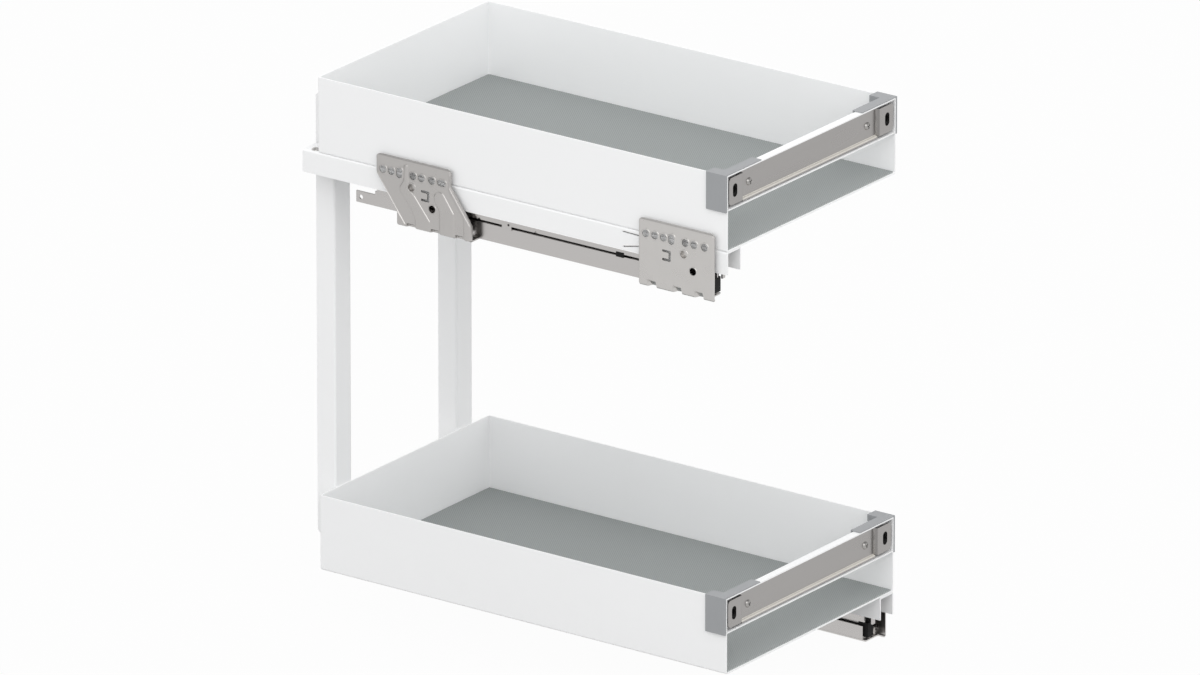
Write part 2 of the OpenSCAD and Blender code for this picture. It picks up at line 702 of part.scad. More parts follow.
module left_front_plate() left_side() front_plate();
module right_front_plate() right_side() front_plate();

// Pressed ribs of the rear plate: outlines from the reference hole, in Y and Z
rear_ribs = [
  [[39.8, -2], [17.7, -33], [17.7, flange_z + 1], [7.6, flange_z + 1], [7.6, -43.2], [38.2, -2]],
  [[9.9, 11], [10, -3], [14.5, -10], [14.1, -14], [1.3, -30], [-1.8, -37], [-2.2, flange_z + 1],
   [-18.4, flange_z + 1], [-18.6, -35.7], [-1.9, -15.2], [4, -11], [5.5, 12]],
  [[-28, flange_z + 1], [-27.6, -23.8], [-22.2, -15.6], [-22.2, -11], [-24, -7.4], [-27.7, -6],
   [-31, -6.4], [-33.1, -8], [-44.8, -23.6], [-44.7, flange_z + 1]],
  [[-54.1, flange_z + 1], [-53.3, -25.8], [-37.8, -4.4], [-37.8, 11], [-39.5, 11], [-39.5, 0], [-61.7, -31],
   [-61.7, flange_z + 1]]
];
rear_notch_q = [-2.2, -28, -54.1];

module rear_plate() color(zinc) difference() {
  y = rear_hole_y;
  union() {
    plate_along_x(plate_face, plate_t) {
      polygon([
        [y + rear_top_q[1], plate_top - plate_r], [y + rear_top_q[1], rear_shoulder_z[1]],
        [y + rear_foot_q[1], rear_knee_z[1]], [y + rear_foot_q[1], flange_z + bend_r],
        [y + rear_foot_q[0], flange_z + bend_r], [y + rear_foot_q[0], rear_knee_z[0]],
        [y + rear_top_q[0], rear_shoulder_z[0]], [y + rear_top_q[0], plate_top - plate_r],
        [y + rear_top_q[0] + plate_r, plate_top], [y + rear_top_q[1] - plate_r, plate_top]
      ]);
      for (dy = [rear_top_q[0] + plate_r, rear_top_q[1] - plate_r])
        translate([y + dy, plate_top - plate_r]) circle(plate_r);
    }
    top_lip(y + rear_top_q[0] + plate_r, y + rear_top_q[1] - plate_r);
    plate_foot(y + rear_foot_q[0], y + rear_foot_q[1]);
    plate_along_x(plate_face - boss_h, boss_h + eps) for (rib = rear_ribs) translate([y, 0]) polygon(rib);
    row_shape(y, [], false);
    long_bore(plate_face - boss_h, boss_h + eps, y + flat_slot_q, hole_row_z,
              flat_slot_d + 2 * boss_ring, slot_run);
    guide_boss(y, rear_guide);
  }
  row_shape(y, [], true);
  long_bore(plate_face - boss_h - eps, boss_h + plate_t + 2 * eps, y + flat_slot_q, hole_row_z,
            flat_slot_d, slot_run);
  guide_hole(y, rear_guide);
  hook_slot(y + rear_hook[0], hole_row_z + rear_hook[1]);
  for (q = rear_notch_q) bend_notch(y + q + hole_gap, y + q + notch_l - hole_gap);
  plate_rivet_holes(y, rear_rivet_q);
}
module left_rear_plate() left_side() rear_plate();
module right_rear_plate() right_side() rear_plate();

// Outline of the middle rail's section: a broad head on a narrow neck
module mid_outline(wall) polygon([
  [wall - mid_head_w / 2, mid_top_z - wall], [mid_head_w / 2 - wall, mid_top_z - wall],
  [mid_head_w / 2 - wall, neck_z + wall], [mid_neck_w / 2 - wall, neck_z + wall],
  [mid_neck_w / 2 - wall, mid_foot_z + wall], [wall - mid_neck_w / 2, mid_foot_z + wall],
  [wall - mid_neck_w / 2, neck_z + wall], [wall - mid_head_w / 2, neck_z + wall]
]);

module middle_rail() color(zinc) difference() {
  run_along_y(mid_rail_y, mid_rail_back - mid_rail_y) translate([run_x, 0]) difference() {
    mid_outline(0);
    mid_outline(mid_t);
  }
  for (s = [-1, 1]) {
    bore_y(0, tray_d, run_x + s * upper_ball_x, upper_ball_z, upper_ball_d + 2 * ball_gap);
    bore_y(0, tray_d, run_x + s * lower_ball_x, lower_ball_z, lower_ball_d + 2 * ball_gap);
  }
}
module left_middle_rail() left_side() middle_rail();
module right_middle_rail() right_side() middle_rail();

// The black end cap on the middle rail, with a plug inside its neck
module middle_cap() color(black) {
  half = cab_in - run_gap;
  plug = mid_neck_w / 2 - mid_t - hole_gap;
  box([run_x - half, mid_cap_y, cab_floor_z + rail_t + run_gap],
      [run_x + half, mid_rail_y, cab_floor_z + cab_outer_h]);
  box([run_x - plug, mid_cap_y, mid_foot_z + mid_t + hole_gap],
      [run_x + plug, mid_rail_y + plug_l, neck_z - mid_t]);
}
module left_middle_cap() left_side() middle_cap();
module right_middle_cap() right_side() middle_cap();

function ball_rows(y0, y1) = [for (y = [y0 + ball_pitch / 2 : ball_pitch : y1 - ball_pitch / 2]) y];

// The lower cage, a folded strip under the middle rail, with a pocket for each ball
module lower_cage() color(bright) difference() {
  out = lower_ball_x + cage_t / 2;
  run_along_y(cage_y, lower_cage_back - cage_y) translate([run_x, 0]) {
    translate([-out, lower_cage_z]) square([2 * out, cage_t]);
    for (s = [-1, 1]) translate([s * lower_ball_x - cage_t / 2, lower_cage_z])
      square([cage_t, lower_ball_z - lower_cage_z + lower_ball_d]);
  }
  for (s = [-1, 1], y = ball_rows(cage_y, lower_cage_back))
    bore_x(run_x + s * lower_ball_x - cage_t, 2 * cage_t, y, lower_ball_z, lower_ball_d + 2 * ball_gap);
}
module left_lower_cage() left_side() lower_cage();
module right_lower_cage() right_side() lower_cage();

module lower_balls() color(bright)
  for (s = [-1, 1], y = ball_rows(cage_y, lower_cage_back))
    translate([run_x + s * lower_ball_x, y, lower_ball_z]) sphere(d = lower_ball_d);
module left_lower_balls() left_side() lower_balls();
module right_lower_balls() right_side() lower_balls();

// The upper cage, folded over the middle rail's head
module upper_cage() color(bright) difference() {
  out = upper_ball_x + cage_t / 2;
  run_along_y(cage_y, upper_cage_back - cage_y) translate([run_x, 0]) {
    translate([-out, upper_cage_z - cage_t]) square([2 * out, cage_t]);
    for (s = [-1, 1]) translate([s * upper_ball_x - cage_t / 2, upper_ball_z - upper_ball_d])
      square([cage_t, upper_cage_z - upper_ball_z + upper_ball_d]);
  }
  for (s = [-1, 1], y = ball_rows(cage_y, upper_cage_back))
    bore_x(run_x + s * upper_ball_x - cage_t, 2 * cage_t, y, upper_ball_z, upper_ball_d + 2 * ball_gap);
}
module left_upper_cage() left_side() upper_cage();
module right_upper_cage() right_side() upper_cage();

module upper_balls() color(bright)
  for (s = [-1, 1], y = ball_rows(cage_y, upper_cage_back))
    translate([run_x + s * upper_ball_x, y, upper_ball_z]) sphere(d = upper_ball_d);
module left_upper_balls() left_side() upper_balls();
module right_upper_balls() right_side() upper_balls();

upper_tray();
lower_tray();
upper_mat();
lower_mat();
upper_front_rail();
lower_front_rail();
upper_front_strip();
lower_front_strip();
upper_strip_screws();
lower_strip_screws();
upper_panel_clips();
lower_panel_clips();
upper_left_cap();
upper_right_cap();
lower_left_cap();
lower_right_cap();
left_beam();
right_beam();
left_post();
right_post();
upper_post_nuts();
lower_post_nuts();
left_drawer_rail();
right_drawer_rail();
left_rail_screws();
right_rail_screws();
left_rail_stop();
right_rail_stop();
left_front_plate();
right_front_plate();
left_rear_plate();
right_rear_plate();
left_cabinet_rail();
right_cabinet_rail();
left_plate_rivets();
right_plate_rivets();
left_middle_rail();
right_middle_rail();
left_middle_cap();
right_middle_cap();
left_lower_cage();
right_lower_cage();
left_lower_balls();
right_lower_balls();
left_upper_cage();
right_upper_cage();
left_upper_balls();
right_upper_balls();
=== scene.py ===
import math
from contextlib import contextmanager

import bmesh
import bpy
import numpy as np
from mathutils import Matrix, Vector
from mathutils.geometry import delaunay_2d_cdt


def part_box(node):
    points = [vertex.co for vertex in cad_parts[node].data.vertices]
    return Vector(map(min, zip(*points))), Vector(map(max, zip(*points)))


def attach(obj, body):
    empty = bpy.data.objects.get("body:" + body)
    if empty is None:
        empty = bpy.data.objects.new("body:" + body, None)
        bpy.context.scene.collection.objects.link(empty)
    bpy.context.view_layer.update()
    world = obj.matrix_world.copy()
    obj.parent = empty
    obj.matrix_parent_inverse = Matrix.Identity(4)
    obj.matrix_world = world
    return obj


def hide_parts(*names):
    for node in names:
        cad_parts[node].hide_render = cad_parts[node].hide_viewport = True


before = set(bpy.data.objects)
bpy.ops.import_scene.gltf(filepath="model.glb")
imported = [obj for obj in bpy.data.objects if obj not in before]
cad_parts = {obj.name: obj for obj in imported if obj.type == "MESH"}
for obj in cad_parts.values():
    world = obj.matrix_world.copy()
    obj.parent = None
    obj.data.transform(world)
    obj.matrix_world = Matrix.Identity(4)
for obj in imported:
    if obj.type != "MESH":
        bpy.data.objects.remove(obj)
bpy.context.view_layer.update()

mm = 0.001

# Camera, floor and light
# The rack is seen from its front left, twenty degrees above the floor, through a long lens.
# It stands on a pale floor under one broad soft lamp at its front left, in white surroundings.
scene = bpy.context.scene
scene.view_settings.view_transform = "Standard"
azimuth, elevation = math.radians(-54.0284), math.radians(20.0478)
towards_camera = Vector((math.sin(azimuth) * math.cos(elevation),
                         -math.cos(azimuth) * math.cos(elevation), math.sin(elevation)))
camera = bpy.data.objects.new("camera", bpy.data.cameras.new("camera"))
camera.location = (-13.4851, -9.7905, 6.3494)
camera.rotation_mode = "QUATERNION"
camera.rotation_quaternion = (-towards_camera).to_track_quat("-Z", "Y")
camera.data.sensor_width = 36
camera.data.lens = 616.47
camera.data.clip_end = 80
scene.collection.objects.link(camera)
scene.camera = camera


def set_inputs(node, inputs):
    """Links each input whose value is a socket, sets the others, and gives the node back."""
    for name, value in inputs.items():
        if isinstance(value, bpy.types.NodeSocket):
            node.id_data.links.new(value, node.inputs[name])
        else:
            node.inputs[name].default_value = value
    return node


def add_node(tree, kind, inputs=None, **settings):
    """A new node of a tree, with its settings and its inputs."""
    node = tree.nodes.new(kind)
    for name, value in settings.items():
        setattr(node, name, value)
    return set_inputs(node, inputs or {})


def ranged(tree, value, before, after):
    """A value carried from one range to another and held at both ends."""
    ends = {"From Min": before[0], "From Max": before[1], "To Min": after[0], "To Max": after[1]}
    return add_node(tree, "ShaderNodeMapRange", {"Value": value, **ends}).outputs["Result"]


def larger(tree, a, b):
    return add_node(tree, "ShaderNodeMath", {0: a, 1: b}, operation="MAXIMUM").outputs[0]


def coordinates(tree, kind):
    return add_node(tree, "ShaderNodeTexCoord").outputs[kind]


def rays(tree, kind):
    """1 for rays of one kind, else 0."""
    return add_node(tree, "ShaderNodeLightPath").outputs[kind]


def seen_directly(tree):
    """1 where a surface is seen by the camera, in a reflection or through glass, else 0."""
    mirrored = larger(tree, rays(tree, "Is Camera Ray"), rays(tree, "Is Glossy Ray"))
    return larger(tree, mirrored, rays(tree, "Is Transmission Ray"))


surround_light, mirrored_overhead, overhead_fade = 1.06, 0.5, (0.3, 0.9)
world = bpy.data.worlds.new("white surround")
world.use_nodes = True
scene.world = world
tree = world.node_tree
skyward = add_node(tree, "ShaderNodeSeparateXYZ", {"Vector": coordinates(tree, "Generated")})
overhead = ranged(tree, skyward.outputs["Z"], overhead_fade, (1.0, mirrored_overhead))
shown = larger(tree, overhead, rays(tree, "Is Camera Ray"))
strength = ranged(tree, seen_directly(tree), (0, 1), (surround_light, shown))
set_inputs(tree.nodes["Background"], {"Color": (1, 1, 1, 1), "Strength": strength})

floor_half, floor_white, floor_shown = 9.0, 0.44, 0.97
mirrored_behind, behind_way, behind_fade = 0.62, (0.5, 1.0, 0.0), (0.3, 1.3)
floor_mesh = bpy.data.meshes.new("floor")
floor_mesh.from_pydata([(floor_half * x, floor_half * y, 0) for x, y in ((-1, -1), (1, -1), (1, 1), (-1, 1))],
                       [], [(0, 1, 2, 3)])
floor = bpy.data.objects.new("floor", floor_mesh)
scene.collection.objects.link(floor)
floor_look = bpy.data.materials.new("pale floor")
floor_look.use_nodes = True
tree = floor_look.node_tree
lit = set_inputs(tree.nodes["Principled BSDF"], {"Base Color": (floor_white, floor_white, floor_white, 1),
                                                 "Roughness": 0.9, "Specular IOR Level": 0.0})
behind = add_node(tree, "ShaderNodeVectorMath", {0: coordinates(tree, "Object"), 1: behind_way},
                  operation="DOT_PRODUCT")
greyer = ranged(tree, behind.outputs["Value"], behind_fade, (1.0, mirrored_behind))
glow = add_node(tree, "ShaderNodeEmission", {"Color": (1, 1, 1, 1),
                                             "Strength": larger(tree, greyer, rays(tree, "Is Camera Ray"))})
share = ranged(tree, seen_directly(tree), (0, 1), (0, floor_shown))
blend = add_node(tree, "ShaderNodeMixShader", {0: share, 1: lit.outputs["BSDF"], 2: glow.outputs["Emission"]})
set_inputs(tree.nodes["Material Output"], {"Surface": blend.outputs["Shader"]})
floor_mesh.materials.append(floor_look)

lamp_place, lamp_aim, lamp_size, lamp_watts = Vector((-2.61, -2.48, 2.95)), Vector((0, 0, 0.25)), 3.7, 52
lamp = bpy.data.objects.new("front left lamp", bpy.data.lights.new("front left lamp", "AREA"))
lamp.location = lamp_place
lamp.rotation_mode = "QUATERNION"
lamp.rotation_quaternion = (lamp_aim - lamp_place).to_track_quat("-Z", "Y")
lamp.data.size = lamp_size
lamp.data.energy = lamp_watts
scene.collection.objects.link(lamp)


# Trays
# Each tray is one blank of 1.2 mm sheet steel, folded up at both sides and the back and left
# open at the front. It is powder coated white, and two threaded studs are welded to its back.
sheet = 1.2
tray_fold = 1.6
tray_low, tray_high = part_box("upper_tray")
tray_w = (tray_high.x - tray_low.x) / mm
tray_h = (tray_high.z - tray_low.z) / mm
stud_d, stud_out, stud_rise = 5.0, 7.0, 10.0
tray_d = (tray_high.y - tray_low.y) / mm - stud_out
post_inset, post_w = 23.5, 24.0
post_foot_z, post_head_z = 21.0, 47.0


def corner_at(level, side="left"):
    """A tray's outer lower front corner in metres, and the way X runs inward from that side."""
    low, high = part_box(level + "_tray")
    return (low.x, low.y, low.z, 1) if side == "left" else (high.x, low.y, low.z, -1)


def mesh_at(name, points, faces, where):
    """A mesh of points in millimetres from a tray's corner, set in its place in metres."""
    x0, y0, z0, way = where
    mesh = bpy.data.meshes.new(name)
    mesh.from_pydata([(x0 + way * x * mm, y0 + y * mm, z0 + z * mm) for x, y, z in points], [], faces)
    if way < 0:
        mesh.flip_normals()
    return mesh


def linked(name, mesh):
    piece = bpy.data.objects.new(name, mesh)
    scene.collection.objects.link(piece)
    return piece


def plain_mesh(piece):
    """The piece with its modifiers worked into a mesh of its own."""
    view = bpy.context.evaluated_depsgraph_get()
    mesh = bpy.data.meshes.new_from_object(piece.evaluated_get(view))
    piece.modifiers.clear()
    mesh.name = piece.name
    piece.data = mesh
    return piece


@contextmanager
def opened(mesh):
    """The mesh laid open for work, and closed again after it."""
    shape = bmesh.new()
    shape.from_mesh(mesh)
    yield shape
    shape.to_mesh(mesh)
    shape.free()


def even_shading(piece, weight):
    """Shading led by the larger faces, so that what is flat looks flat."""
    even = piece.modifiers.new("even shading", "WEIGHTED_NORMAL")
    even.keep_sharp = True
    even.weight = weight


def soften(piece, radius, parts=2):
    """A small round along every edge sharper than thirty degrees, as on a real edge."""
    piece.data.shade_smooth()
    rounding = piece.modifiers.new("edge round", "BEVEL")
    rounding.width = radius * mm
    rounding.segments = parts
    rounding.limit_method = "ANGLE"
    rounding.angle_limit = math.radians(30)
    rounding.harden_normals = True
    even_shading(piece, 100)


def finish_piece(piece, material, body, slot, *nodes):
    """Gives a piece its finish, and says what it rides on and the nodes it stands for. The slot is not used.
    """
    piece.data.materials.clear()
    piece.data.materials.append(material)
    if nodes:
        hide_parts(*nodes)
    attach(piece, body)


def surface(name, colour, roughness, metallic=0.0, grain_size=0.5, grain_depth=0.01,
            cloud_size=40.0, cloud=0.02, streak=(1, 1, 1), rough_cloud=0.05, specular=0.5):
    """A finish with a fine grain, faint clouds of colour and an uneven gloss; sizes in millimetres."""
    look = bpy.data.materials.new(name)
    look.use_nodes = True
    tree = look.node_tree
    place = add_node(tree, "ShaderNodeMapping", {"Vector": coordinates(tree, "Object"), "Scale": streak})
    clouds, grain = [add_node(tree, "ShaderNodeTexNoise", {
        "Vector": place.outputs["Vector"], "Scale": 1000 / size, "Detail": detail}).outputs["Fac"]
        for size, detail in ((cloud_size, 4), (grain_size, 2))]
    dark, pale = [tuple(min(1, c * (1 + way * cloud)) for c in colour) for way in (-1, 1)]
    tint = add_node(tree, "ShaderNodeMapRange", {6: clouds, 7: (0.25, 0.25, 0.25), 8: (0.75, 0.75, 0.75),
                                                 9: dark, 10: pale}, data_type="FLOAT_VECTOR")
    gloss = ranged(tree, clouds, (0.3, 0.7), (roughness - rough_cloud, roughness + rough_cloud))
    bump = add_node(tree, "ShaderNodeBump", {"Strength": 1.0, "Distance": grain_depth * mm, "Height": grain})
    set_inputs(tree.nodes["Principled BSDF"], {
        "Metallic": metallic, "Specular IOR Level": specular, "Base Color": tint.outputs[1],
        "Roughness": gloss, "Normal": bump.outputs["Normal"]})
    return look


white_paint = surface("white powder coat", (0.91, 0.914, 0.918), 0.42, grain_size=1.4,
                      grain_depth=0.012, cloud_size=120, cloud=0.006, rough_cloud=0.03)
bright_steel = surface("bright steel", (0.62, 0.605, 0.59), 0.22, metallic=1.0, grain_size=0.3,
                       grain_depth=0.002, cloud_size=6, cloud=0.05)


def folded_tray(level):
    """A floor and three walls, with rounded folds and the thickness of the sheet laid on inward."""
    plan = ((0, 0), (tray_w, 0), (tray_w, tray_d), (0, tray_d))
    corners = [(x, y, z) for z in (0, tray_h) for x, y in plan]
    walls = [(0, 3, 2, 1), (0, 4, 7, 3), (1, 2, 6, 5), (2, 3, 7, 6)]
    piece = linked(level + "_tray_shell", mesh_at(level + "_tray_shell", corners, walls, corner_at(level)))
    with opened(piece.data) as shape:
        folds = [edge for edge in shape.edges if len(edge.link_faces) == 2]
        bmesh.ops.bevel(shape, geom=folds, offset=tray_fold * mm, offset_type="OFFSET", segments=4,
                        profile=0.5, affect="EDGES")
    wall = piece.modifiers.new("sheet", "SOLIDIFY")
    wall.thickness = sheet * mm
    wall.offset = -1
    wall.use_even_offset = True
    soften(piece, 0.25)
    return piece


for level in ("upper", "lower"):
    finish_piece(folded_tray(level), white_paint, "rack", "white_steel", level + "_tray")


# Post studs and nuts
# Two M5 studs are welded to each tray's back wall. A hexagon nut on each, turned tight
# against the post, holds the tray to the posts. All are bright zinc-plated steel.
thread_pitch, thread_depth = 0.8, 0.35
thread_start, thread_tail, stud_chamfer = 1.0, 0.6, 0.5
nut_across, nut_h, nut_chamfer, nut_seat = 8.0, 4.0, 0.45, 0.97
frame_sheet = 1.5


def around(steps):
    """Even steps of a full turn, as angles."""
    return [2 * math.pi * k / steps for k in range(steps)]


def band(first, second, steps):
    """The faces between two closed rings, each given by the number of its first point."""
    return [(first + k, first + (k + 1) % steps, second + (k + 1) % steps, second + k) for k in range(steps)]


def spun(profile, steps=32):
    """A closed solid turned round Z from its profile of radius and height pairs, axis to axis."""
    ring = [(r, z) for r, z in profile if r > 0]
    points = [(r * math.cos(a), r * math.sin(a), z) for r, z in ring for a in around(steps)]
    faces = [face for i in range(len(ring) - 1) for face in band(i * steps, (i + 1) * steps, steps)]
    foot, head, last = len(points), len(points) + 1, (len(ring) - 1) * steps
    points += [(0, 0, profile[0][1]), (0, 0, profile[-1][1])]
    faces += [(foot, (k + 1) % steps, k) for k in range(steps)]
    faces += [(head, last + k, last + (k + 1) % steps) for k in range(steps)]
    return points, faces


def new_tree(name, inputs, output):
    """An empty tree with its named inputs, given as names and kinds, and the sockets they arrive at."""
    tree = bpy.data.node_groups.new(name, "GeometryNodeTree")
    for label, kind in inputs:
        tree.interface.new_socket(label, in_out="INPUT", socket_type="NodeSocket" + kind)
    tree.interface.new_socket(output, in_out="OUTPUT", socket_type="NodeSocketGeometry")
    return tree, add_node(tree, "NodeGroupInput").outputs


def end_tree(tree, geometry, finish):
    """Ends a tree in real geometry with its finish."""
    real = add_node(tree, "GeometryNodeRealizeInstances", {"Geometry": geometry})
    coated = add_node(tree, "GeometryNodeSetMaterial", {"Geometry": real.outputs["Geometry"],
                                                        "Material": finish})
    add_node(tree, "NodeGroupOutput", {0: coated.outputs["Geometry"]})
    return tree


def stand_copies_tree():
    """Stands a part on every point of a mesh and turns each copy by that point's own turn."""
    inputs = (("Places", "Geometry"), ("Part", "Object"), ("Finish", "Material"))
    tree, given = new_tree("stand copies", inputs, "Copies")
    points = add_node(tree, "GeometryNodeMeshToPoints", {"Mesh": given["Places"]})
    part = add_node(tree, "GeometryNodeObjectInfo", {"Object": given["Part"]})
    turn = add_node(tree, "GeometryNodeInputNamedAttribute", {"Name": "turn"}, data_type="FLOAT_VECTOR")
    stand = add_node(tree, "GeometryNodeInstanceOnPoints", {
        "Points": points.outputs["Points"], "Instance": part.outputs["Geometry"],
        "Rotation": turn.outputs["Attribute"]})
    return end_tree(tree, stand.outputs["Instances"], given["Finish"])


stand_copies = stand_copies_tree()


def grown(piece, tree, inputs):
    """Grows a piece by a tree with these inputs and leaves it as a plain mesh."""
    maker = piece.modifiers.new("growth", "NODES")
    maker.node_group = tree
    for socket in tree.interface.items_tree:
        if socket.name in inputs:
            maker[socket.identifier] = inputs[socket.name]
    return plain_mesh(piece)


def shade_round(piece, sharp):
    """Smooth shading, but for edges sharper than an angle in degrees."""
    piece.data.shade_smooth()
    piece.data.set_sharp_from_angle(angle=math.radians(sharp))


def set_out(name, part_mesh, places, turns, material):
    """Copies of one small part, in millimetres, at places in metres, each with its own turn."""
    part = bpy.data.objects.new("one of " + name, part_mesh)
    spots = bpy.data.meshes.new(name)
    spots.from_pydata(places, [], [])
    turn = spots.attributes.new("turn", "FLOAT_VECTOR", "POINT")
    turn.data.foreach_set("vector", [v for t in turns for v in t])
    piece = grown(linked(name, spots), stand_copies, {"Part": part, "Finish": material})
    bpy.data.objects.remove(part)
    shade_round(piece, 40)
    return piece


def part_mesh(name, points, faces):
    mesh = bpy.data.meshes.new(name)
    mesh.from_pydata([(x * mm, y * mm, z * mm) for x, y, z in points], [], faces)
    return mesh


def stud_mesh():
    """A stud with its thread as a row of turned grooves, drawn along Z from the weld."""
    r = stud_d / 2
    profile = [(0, 0), (r, 0), (r, thread_start)]
    for k in range(int((stud_out - thread_start - thread_tail) / thread_pitch)):
        z = thread_start + k * thread_pitch
        profile += [(r - thread_depth, z + thread_pitch / 2), (r, z + thread_pitch)]
    profile += [(r - stud_chamfer, stud_out), (0, stud_out)]
    return part_mesh("stud", *spun(profile, 24))


def hexagon(angle):
    """Distance from a nut's middle to its flat sides, at an angle."""
    sector = math.pi / 3
    return nut_across / 2 / math.cos((angle % sector) - sector / 2)


def nut_mesh():
    """A hexagon nut with chamfered corners, drawn along Z from its seat."""
    steps = 36
    rings = [(lambda a: stud_d / 2, 0), (lambda a: nut_across / 2 * nut_seat, 0), (hexagon, nut_chamfer),
             (hexagon, nut_h - nut_chamfer), (lambda a: nut_across / 2 * nut_seat, nut_h),
             (lambda a: stud_d / 2, nut_h)]
    points = [(r_at(a) * math.cos(a), r_at(a) * math.sin(a), z) for r_at, z in rings for a in around(steps)]
    faces = [face for i in range(len(rings)) for face in band(i * steps, (i + 1) % len(rings) * steps, steps)]
    return part_mesh("nut", points, faces)


rear_wall_y = tray_low.y + tray_d * mm
rearward = (-math.pi / 2, 0, 0)
stud_x = (post_inset + post_w / 2, tray_w - post_inset - post_w / 2)
for level, post_end, up in (("upper", post_head_z, -1), ("lower", post_foot_z, 1)):
    x0, _, z0, _ = corner_at(level)
    height = z0 + (post_end + up * stud_rise) * mm
    for name, mesh, y, *nodes in ((level + "_studs", stud_mesh(), rear_wall_y),
                                  (level + "_hex_nuts", nut_mesh(), rear_wall_y + frame_sheet * mm,
                                   level + "_post_nuts")):
        places = [(x0 + x * mm, y, height) for x in stud_x]
        copies = set_out(name, mesh, places, [rearward] * 2, bright_steel)
        finish_piece(copies, bright_steel, "rack", "bright_steel", *nodes)


# Mats
# A grey anti-slip mat of soft plastic lies loose on each tray's floor, cut just smaller than it.
# Its top is moulded in a fine lattice of raised diamonds that run corner to corner, and the grooves between
# them are painted darker as painted shade.
mat_pitch, mat_relief = 1.2, 0.32


def mat_tree():
    """A block whose top rises and falls from point to point of a square grid."""
    sizes = [(name, "Float") for name in ("Width", "Depth", "Thickness", "Pitch", "Relief")]
    tree, given = new_tree("diamond mat", sizes + [("Middle", "Vector"), ("Finish", "Material")], "Mat")

    def reckon(kind, a, b):
        return add_node(tree, "ShaderNodeMath", {0: a, 1: b}, operation=kind).outputs[0]

    def steps_along(length, place):
        """How many steps a side of the grid has, and at which of them each point lies."""
        count = reckon("ROUND", reckon("DIVIDE", length, given["Pitch"]), 0)
        from_end = reckon("ADD", place, reckon("DIVIDE", length, 2))
        return count, reckon("ROUND", reckon("DIVIDE", from_end, reckon("DIVIDE", length, count)), 0)

    place = add_node(tree, "GeometryNodeInputPosition")
    spot = add_node(tree, "ShaderNodeSeparateXYZ", {"Vector": place.outputs["Position"]})
    across, step_x = steps_along(given["Width"], spot.outputs["X"])
    along, step_y = steps_along(given["Depth"], spot.outputs["Y"])
    grid = add_node(tree, "GeometryNodeMeshGrid", {
        "Size X": given["Width"], "Size Y": given["Depth"],
        "Vertices X": reckon("ADD", across, 1), "Vertices Y": reckon("ADD", along, 1)})
    low_point = reckon("MODULO", reckon("ADD", step_x, step_y), 2)
    height = reckon("SUBTRACT", given["Thickness"], reckon("MULTIPLY", low_point, given["Relief"]))
    lift = add_node(tree, "ShaderNodeCombineXYZ", {"Z": height})
    top = add_node(tree, "GeometryNodeSetPosition", {"Geometry": grid.outputs["Mesh"],
                                                     "Offset": lift.outputs["Vector"]})
    # the low points are stored as groove, which the mat's finish paints darker as painted shade
    mark = add_node(tree, "GeometryNodeStoreNamedAttribute", {"Name": "groove", "Value": low_point,
                                                              "Geometry": top.outputs["Geometry"]})
    move = add_node(tree, "GeometryNodeTransform", {"Geometry": mark.outputs["Geometry"],
                                                    "Translation": given["Middle"]})
    return end_tree(tree, move.outputs["Geometry"], given["Finish"])


def recoloured(look, attribute, colour, blend_type="MIX"):
    """Mixes a colour into a finish where the piece's attribute is 1, and gives that attribute."""
    tree, shader = look.node_tree, look.node_tree.nodes["Principled BSDF"]
    mark = add_node(tree, "ShaderNodeAttribute", attribute_name=attribute).outputs["Fac"]
    own = shader.inputs["Base Color"].links[0].from_socket
    mix = add_node(tree, "ShaderNodeMix", {0: mark, 6: own, 7: (*colour, 1)}, data_type="RGBA",
                   blend_type=blend_type)
    set_inputs(shader, {"Base Color": mix.outputs[2]})
    return mark


def darkened(look, attribute, share):
    """Takes a finish down to a share of its colour where the piece's attribute is 1."""
    recoloured(look, attribute, (share, share, share), "MULTIPLY")
    return look


def open_edges(faces):
    """The edges that only one of the triangles has, each in that triangle's direction."""
    edges = np.concatenate([faces[:, [0, 1]], faces[:, [1, 2]], faces[:, [2, 0]]])
    back = set(map(tuple, edges[:, ::-1].tolist()))
    return [(a, b) for a, b in edges.tolist() if (a, b) not in back]


def close_mat(mesh, foot_z):
    """Cuts every square of the grid in two along its low corners, so that each high point is a
    diamond, and closes the mat with upright sides and a flat foot."""
    count = len(mesh.vertices)
    spots = np.empty(count * 3, dtype=np.float32)
    mesh.vertices.foreach_get("co", spots)
    spots = spots.reshape(-1, 3)
    groove = np.empty(count, dtype=np.float32)
    mesh.attributes["groove"].data.foreach_get("value", groove)
    squares = np.empty(len(mesh.polygons) * 4, dtype=np.int32)
    mesh.polygons.foreach_get("vertices", squares)
    squares = squares.reshape(-1, 4)
    turned = np.where((groove[squares[:, 0]] > 0.5)[:, None], squares, np.roll(squares, -1, axis=1))
    halves = np.concatenate([turned[:, [0, 1, 2]], turned[:, [0, 2, 3]]])
    after = dict(open_edges(halves))
    rim = [min(after)]
    while after[rim[-1]] != rim[0]:
        rim.append(after[rim[-1]])
    n = len(rim)
    feet = [(x, y, foot_z) for x, y, z in spots[rim].tolist()]
    sides = [(rim[(k + 1) % n], rim[k], count + k, count + (k + 1) % n) for k in range(n)]
    foot = tuple(range(count + n - 1, count - 1, -1))
    mesh.clear_geometry()
    mesh.from_pydata(spots.tolist() + feet, [], halves.tolist() + sides + [foot])
    marks = mesh.attributes.new("groove", "FLOAT", "POINT")
    marks.data.foreach_set("value", np.concatenate([groove, groove[rim]]))


